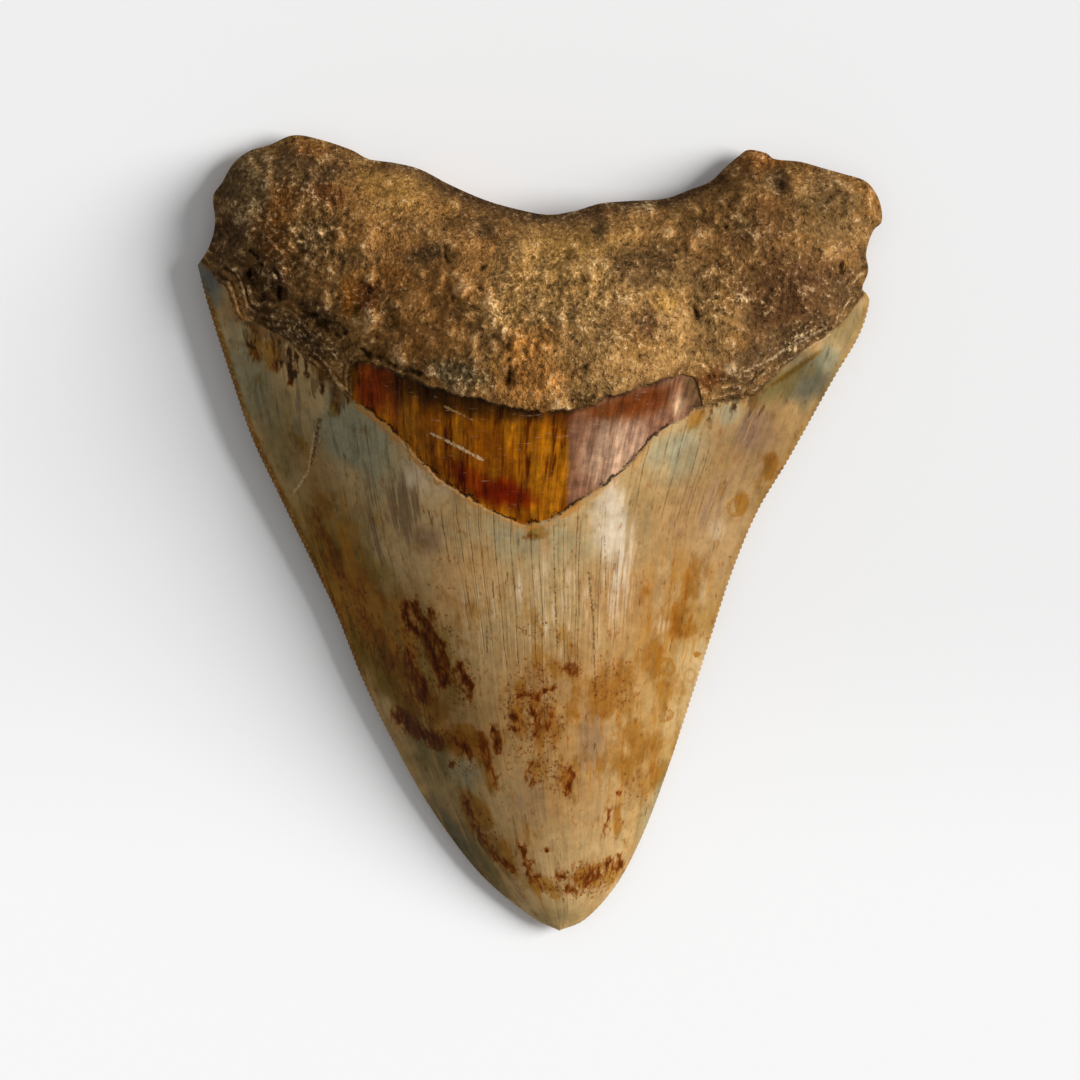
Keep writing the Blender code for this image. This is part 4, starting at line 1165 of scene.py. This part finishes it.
class Graph:
    """A material's shader nodes, by short calls that take and give fields."""

    def __init__(self, material):
        self.tree = material.node_tree

    def node(self, kind, inputs, output=0, **settings):
        made = self.tree.nodes.new(kind)
        for name, value in settings.items():
            setattr(made, name, value)
        for key, value in inputs.items():
            if isinstance(value, Field):
                self.tree.links.new(value.socket, made.inputs[key])
            else:
                made.inputs[key].default_value = value
        return Field(self, made.outputs[output])

    def shade(self, **fields):
        """Feeds the shader's inputs, named with _ for each space."""
        shader = self.tree.nodes["Principled BSDF"]
        for name, field in fields.items():
            self.tree.links.new(field.socket, shader.inputs[name.replace("_", " ")])

    @cached_property
    def place(self):
        """Where the point is, in millimetres."""
        return self.node("ShaderNodeTexCoord", {}, "Object").scaled(1 / MM)

    @cached_property
    def y(self):
        return self.node("ShaderNodeSeparateXYZ", {0: self.place}, "Y")

    @cached_property
    def fan(self):
        return self.attribute("fan")

    def attribute(self, name, output="Fac"):
        return self.node("ShaderNodeAttribute", {}, output, attribute_name=name)

    def math(self, operation, a, b=0.0):
        return self.node("ShaderNodeMath", {0: a, 1: b}, operation=operation)

    def higher(self, a, b):
        return self.math("MAXIMUM", a, b)

    def vector(self, x, y, z):
        return self.node("ShaderNodeCombineXYZ", {0: x, 1: y, 2: z})

    def noise(self, vector, scale, detail=2.0, roughness=0.5, output=0):
        inputs = {"Vector": vector, "Scale": scale, "Detail": detail, "Roughness": roughness}
        return self.node("ShaderNodeTexNoise", inputs, output)

    def grown(self, stretch, seed, *settings):
        """Noise that is drawn out along the growth lines."""
        return self.noise(self.vector(self.fan, self.y * stretch, seed), *settings)

    def cells(self, chance=False, **inputs):
        """The distance to the nearest cell's middle, or each cell's own number from 0 to 1."""
        settings = {"voronoi_dimensions": "1D"} if "W" in inputs else {}
        found = self.node("ShaderNodeTexVoronoi", inputs, "Color" if chance else "Distance", **settings)
        return self.node("ShaderNodeSeparateColor", {0: found}) if chance else found

    def cell_edges(self, vector, scale):
        """The distance to the nearest border between cells."""
        inputs = {"Vector": vector, "Scale": scale}
        return self.node("ShaderNodeTexVoronoi", inputs, feature="DISTANCE_TO_EDGE")

    def blend(self, a, b, share, mode="MIX"):
        """Two colours, mixed: each is a field or the name of a colour."""
        inputs = {0: share}
        for key, colour in ((6, a), (7, b)):
            inputs[key] = colour if isinstance(colour, Field) else (*linear(COLOURS[colour]), 1)
        return self.node("ShaderNodeMix", inputs, 2, data_type="RGBA", blend_type=mode)

    def stroke(self, start, end, width, wobble):
        """A mask that is 1 on a straight scratch, with a ragged edge."""
        start, end = Vector((*start, 0)), Vector((*end, 0))
        run = (end - start).normalized()
        side = Vector((-run.y, run.x, 0))
        along = self.place.vector_math("DOT_PRODUCT", run, 1)
        off = abs(self.place.vector_math("DOT_PRODUCT", side, 1) - side.dot(start) + wobble)
        begun = along.ramp(run.dot(start) - 0.2, run.dot(start) + 0.2)
        not_over = along.ramp(run.dot(end) + 0.2, run.dot(end) - 0.2)
        return off.ramp(width * 0.75, width * 0.3) * (begun * not_over)


def growth_cracks(g, scale, cover, seed):
    """Thin straight lines along the growth lines, each broken along its length."""
    bend = g.noise(g.vector(g.fan * 0.15, g.y * 0.08, seed), 1.0, 3.0)
    inputs = {"W": g.fan + bend.ramp(0.2, 0.8, -0.25, 0.25), "Scale": scale}
    row = g.cells(chance=True, **inputs) * 90.0
    stretch = g.noise(g.vector(row, g.y * 0.06, seed), 1.0, 2.0, 0.6)
    present = (stretch + g.attribute("cracks").ramp(0, 1, -0.3, cover)).ramp(0.44, 0.58)
    depth = g.noise(g.vector(row, g.y * 0.8, seed), 1.0, 3.0, 0.7).ramp(0.35, 0.65, 0.35, 1.0)
    return g.cells(**inputs).ramp(0.13 * scale, 0.03 * scale) * present * depth


def stained(g, colour):
    """Golden washes that let the streaks show, with a faint darker rim."""
    golden = g.attribute("golden")
    level = g.grown(0.45, 3.0, 0.42, 6.0, 0.62) + golden * 0.34
    deeper = (g.noise(g.place, 0.45, 5.0, 0.6) * 0.7 + golden * 0.4).ramp(0.60, 0.94)
    wash = g.blend("golden wash", "deep golden wash", deeper)
    colour = colour.tinted(wash, level.ramp(0.58, 0.80))
    rim = abs(level - 0.69).ramp(0.02, 0.004) * golden.ramp(0.4, 0.8, 0.0, 0.3)
    return colour.blend("golden", rim)


def speckled(g, colour):
    """Dark wine-brown marks with rusty halos, and small specks and squiggles."""
    speckle, spur = g.attribute("speckle"), g.attribute("spur")
    bent = g.place.vector_math("MULTIPLY", (1.0, 0.42, 1.0)).shaken(1.0, 0.9)
    patch = g.cell_edges(bent, 0.9).ramp(0.26, 0.0) * 0.14 + g.noise(bent, 1.1, 5.0, 0.66) * 0.86
    level = patch + (g.attribute("dark") - 0.12) * 0.42

    shaken = g.place.shaken(2.0, 0.7)
    distance = g.cells(Vector=shaken, Scale=1.6)
    there = (speckle * 0.85 - g.cells(chance=True, Vector=shaken, Scale=1.6)).ramp(-0.10, 0.25)
    squiggle = g.cell_edges(shaken, 1.1).ramp(0.11, 0.03)
    squiggle = squiggle * (g.noise(shaken, 1.5, 3.0, 0.6) + speckle * 0.14).ramp(0.62, 0.68)
    speck = g.higher(distance.ramp(0.34, 0.12) * there, squiggle * speckle.ramp(0.1, 0.5))

    halo = level.ramp(0.50, 0.76) * spur.ramp(0.0, 0.3, 1.0, 0.5)
    colour = colour.tinted("rust wash", g.higher(halo, distance.ramp(0.75, 0.1) * there * 0.6))
    wine = g.blend("stain", "stain core", level.ramp(0.74, 0.92))
    wine = wine.blend("crevice", spur.ramp(0.0, 0.3, 0.0, 0.75))
    return colour.blend(wine, g.higher(level.ramp(0.63, 0.84) * 0.92, speck * 0.75))


def enamel_colour(g, tint):
    """Cream enamel with streaks, stains, specks, rings, spurs and cracks. Also gives the cracks."""
    broad = g.grown(0.13, 0.0, 0.5, 4.0, 0.6)
    narrow = g.grown(0.07, 7.0, 1.9, 3.0, 0.6)
    mottle = g.noise(g.place, 0.6, 5.0, 0.66)
    streak = broad * 0.45 + narrow * 0.55
    covered = (streak + g.attribute("streak_cover").ramp(0, 1, -0.16, 0.16)).ramp(0.46, 0.58)
    colour = tint.blend(g.attribute("streak_tint", "Color"), covered * 0.75)
    shade = broad.ramp(0.25, 0.75, 0.90, 1.10) + narrow.ramp(0.25, 0.75, -0.12, 0.12)
    colour = stained(g, colour.scaled(shade + mottle.ramp(0.3, 0.7, -0.13, 0.13)))
    for x, y, radius, strength in RINGS:
        flat = g.place.vector_math("SUBTRACT", (x, y, 0)).vector_math("MULTIPLY", (1, 1, 0))
        edge = abs(flat.vector_math("LENGTH", output=1) - radius + mottle.ramp(0.3, 0.7, -0.3, 0.3))
        colour = colour.blend("golden", edge.ramp(0.35, 0.12) * strength)
    colour = speckled(g, colour)
    spur = (g.grown(0.16, 21.0, 1.1, 3.0, 0.6) + g.attribute("spur") * 0.24).ramp(0.66, 0.72)
    colour = colour.blend(g.blend("amber stain", "crevice", mottle.ramp(0.4, 0.55)), spur * 0.6)
    crack = g.higher(growth_cracks(g, 0.55, 0.14, 2.0), growth_cracks(g, 1.2, 0.08, 9.0) * 0.4)
    return colour.blend("growth crack", crack * 0.62), crack


def bourlette_colour(g, tint):
    """The glossy amber band, with dark and golden strips."""
    contrast = g.attribute("bourlette")
    strips = g.grown(0.09, 11.0, 0.95, 5.0, 0.68)
    colour = tint.tinted("dark strip", strips.ramp(0.50, 0.36) * contrast)
    colour = colour.blend(colour.scaled(1.75), strips.ramp(0.53, 0.66) * contrast)
    colour = colour.scaled(g.grown(0.05, 13.0, 2.6, 3.0, 0.6).ramp(0.3, 0.7, 0.74, 1.22))
    colour = colour.scaled(g.noise(g.place, 0.6, 5.0, 0.65).ramp(0.3, 0.7, 0.72, 1.26))
    turned = g.node("ShaderNodeMapping", {0: g.place, 2: (0, 0, 0.5), 3: (0.35, 3.0, 1.0)})
    return colour.blend("wear", g.noise(turned, 1.0, 4.0, 0.7).ramp(0.62, 0.72) * 0.35)


def root_colour(g, tint):
    """The rough brown root: its colour, with painted shade in its hollows and pits and a painted sheen and
    glints on its bright grains; its fine grain's height; and how pale each grain is.
    """
    relief, strand, grit = g.attribute("relief"), g.attribute("strand"), g.attribute("grit")
    bent = g.place.shaken(0.8, 0.35)
    grain = g.noise(bent, 1.5, 3.0, 0.6)
    fine_shade = grain.ramp(0.32, 0.68, -0.42, 0.36) * grit.ramp(0.2, 0.9, 0.7, 1.15) + 1.0
    shade = g.noise(bent, 0.33, 5.0, 0.62).ramp(0.3, 0.7, 1.22, 1.78) * fine_shade
    # Darker where the relief is low and lighter where it is high: painted shade in the hollows, and painted
    # light on the raised grains and strands.
    shade = shade * (relief + strand * 0.7).ramp(-0.9, 0.9, 0.42, 1.4)
    # The brightest parts turn a greyish sand: a painted sheen.
    colour = tint.scaled(shade).blend("pale sheen", shade.ramp(1.3, 2.6, 0.0, 0.7))
    # The relief's creases and holes, and the pits between grains, are darkened: painted shade.
    crease_shade = relief.ramp(-0.6, -1.1)
    pits = (g.noise(bent, 1.1, 3.0, 0.65) + relief * 0.07).ramp(0.40, 0.32)
    colour = colour.blend("crevice", g.higher(pits * 0.5, crease_shade * 0.6))
    # Raised grains and strands, and the root's own pale grit, turn paler: painted glints as well as real pale
    # grains.
    raised_highlight = relief * 0.06 + g.higher(strand, 0.0) * 0.07
    pale = (grain + grit * 0.14 + raised_highlight).ramp(0.62, 0.73)
    colour = colour.blend(colour.scaled(1.6).blend("pale grain and glint", 0.35), pale * 0.8)
    return colour, grain - pits * 0.35, pale


def scratched(g, colour):
    """The named scratches and dark cracks: a thin one wanders less than a broad one."""
    wobble = g.noise(g.place, 2.4, 3.0, 0.7).ramp(0.2, 0.8, -0.3, 0.3)
    dashes = g.noise(g.place, 1.8, 2.0).ramp(0.40, 0.52, 0.25, 1.0)
    for start, end, width, name, strength in SCRATCHES:
        wander = wobble * min(1.0, 8.0 * width * width)
        colour = colour.blend(name, g.stroke(start, end, width, wander) * (dashes * strength))
    return colour


def bordered(g, colour):
    """The enamel's chipped lip, the dark gap over it, and the shade under the root. Also gives the gap."""
    lip_strength, root_lip = g.attribute("lip_strength"), g.attribute("root_lip")
    lip = g.attribute("lip") + g.noise(g.place, 0.6, 5.0, 0.65).ramp(0.25, 0.75, -0.4, 0.4)
    chipped = g.noise(g.place, 0.5, 3.0, 0.6).ramp(0.35, 0.6) * lip_strength
    colour = colour.blend("lip", lip.ramp(-1.0, -0.55) * lip.ramp(0.2, 0.0) * chipped * 0.9)
    beside_band = lip_strength.ramp(0.2, 0.5, 0.35, 1.0)
    gap = abs(lip - 0.15).ramp(0.24, 0.08) * g.noise(g.place, 0.4, 3.0, 0.6).ramp(0.40, 0.54) * beside_band
    colour = colour.blend("crevice", gap * 0.85)
    shade = root_lip.ramp(-0.9, 0.0) * root_lip.ramp(0.35, 0.1)
    shade = shade * (beside_band * g.noise(g.place, 0.35, 3.0).ramp(0.35, 0.6, 0.2, 1.0))
    return colour.blend("crevice", shade * 0.7), gap


def plain_material(name):
    made = bpy.data.materials.new(name)
    made.use_nodes = True
    return made


def tooth_material():
    made = plain_material("fossil_tooth")
    g = Graph(made)
    tint = g.attribute("tint", "Color")
    root = g.attribute("root")
    not_root = 1.0 - root
    bourlette = g.attribute("bourlette").ramp(0.1, 0.4)
    enamel, crack = enamel_colour(g, tint)
    earth, grain, pale = root_colour(g, tint)
    colour = enamel.blend(bourlette_colour(g, tint), bourlette).blend(earth, root)
    colour, gap = bordered(g, scratched(g, colour))
    glossy = g.noise(g.place, 0.8, 4.0, 0.6).ramp(0.3, 0.7, 0.28, 0.42) - bourlette * 0.06
    root_height = grain * 1.6 + pale * 0.2
    enamel_height = g.grown(0.08, 1.0, 1.6, 3.0) * 0.10 - crack * 0.08
    height = root_height * root + enamel_height * not_root - gap * 0.6
    bump = g.node("ShaderNodeBump", {"Strength": 1.0, "Distance": BUMP_HEIGHT * MM, "Height": height})
    g.shade(Base_Color=colour, Roughness=glossy * not_root + root * ROOT_ROUGHNESS, Normal=bump)
    made.node_tree.nodes["Principled BSDF"].inputs["Specular IOR Level"].default_value = SPECULAR
    return made


# ---- the stage ----

def floor():
    """A pale backdrop, a little brighter below the tooth than above it."""
    half = FLOOR_HALF * MM
    corners = [(-half, -half, 0), (half, -half, 0), (half, half, 0), (-half, half, 0)]
    mesh = bpy.data.meshes.new("floor")
    mesh.from_pydata(corners, [], [(0, 1, 2, 3)])
    made = added("floor", mesh)
    backdrop = plain_material("floor")
    backdrop.node_tree.nodes["Principled BSDF"].inputs["Roughness"].default_value = FLOOR_ROUGHNESS
    g = Graph(backdrop)
    g.shade(Base_Color=g.y.ramp(*FLOOR_FADE, *FLOOR_BRIGHTNESS))
    mesh.materials.append(backdrop)


def lights():
    """A pale sky, and one big soft light that is far away."""
    world = bpy.data.worlds.new("world")
    bpy.context.scene.world = world
    world.use_nodes = True
    sky = world.node_tree.nodes["Background"]
    sky.inputs["Color"].default_value = (1, 1, 1, 1)
    sky.inputs["Strength"].default_value = SKY_STRENGTH
    light = bpy.data.lights.new("key", "SUN")
    light.angle = math.radians(KEY_WIDTH)
    light.energy = KEY_STRENGTH
    key = added("key", light)
    key.rotation_euler = (0, math.radians(90 - KEY_ELEVATION), math.radians(KEY_AZIMUTH))


def camera():
    data = bpy.data.cameras.new("camera")
    data.sensor_width = 36
    data.lens = data.sensor_width * (CAMERA_HEIGHT - FOCUS_HEIGHT) / FRAME_WIDTH
    made = added("camera", data)
    made.location = (0, CAMERA_Y * MM, CAMERA_HEIGHT * MM)
    bpy.context.scene.camera = made


scene = bpy.context.scene
scene.view_settings.view_transform = "Standard"
piece = tooth()
piece.data.materials.append(tooth_material())
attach(piece, "root")
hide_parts("tooth")
floor()
lights()
camera()
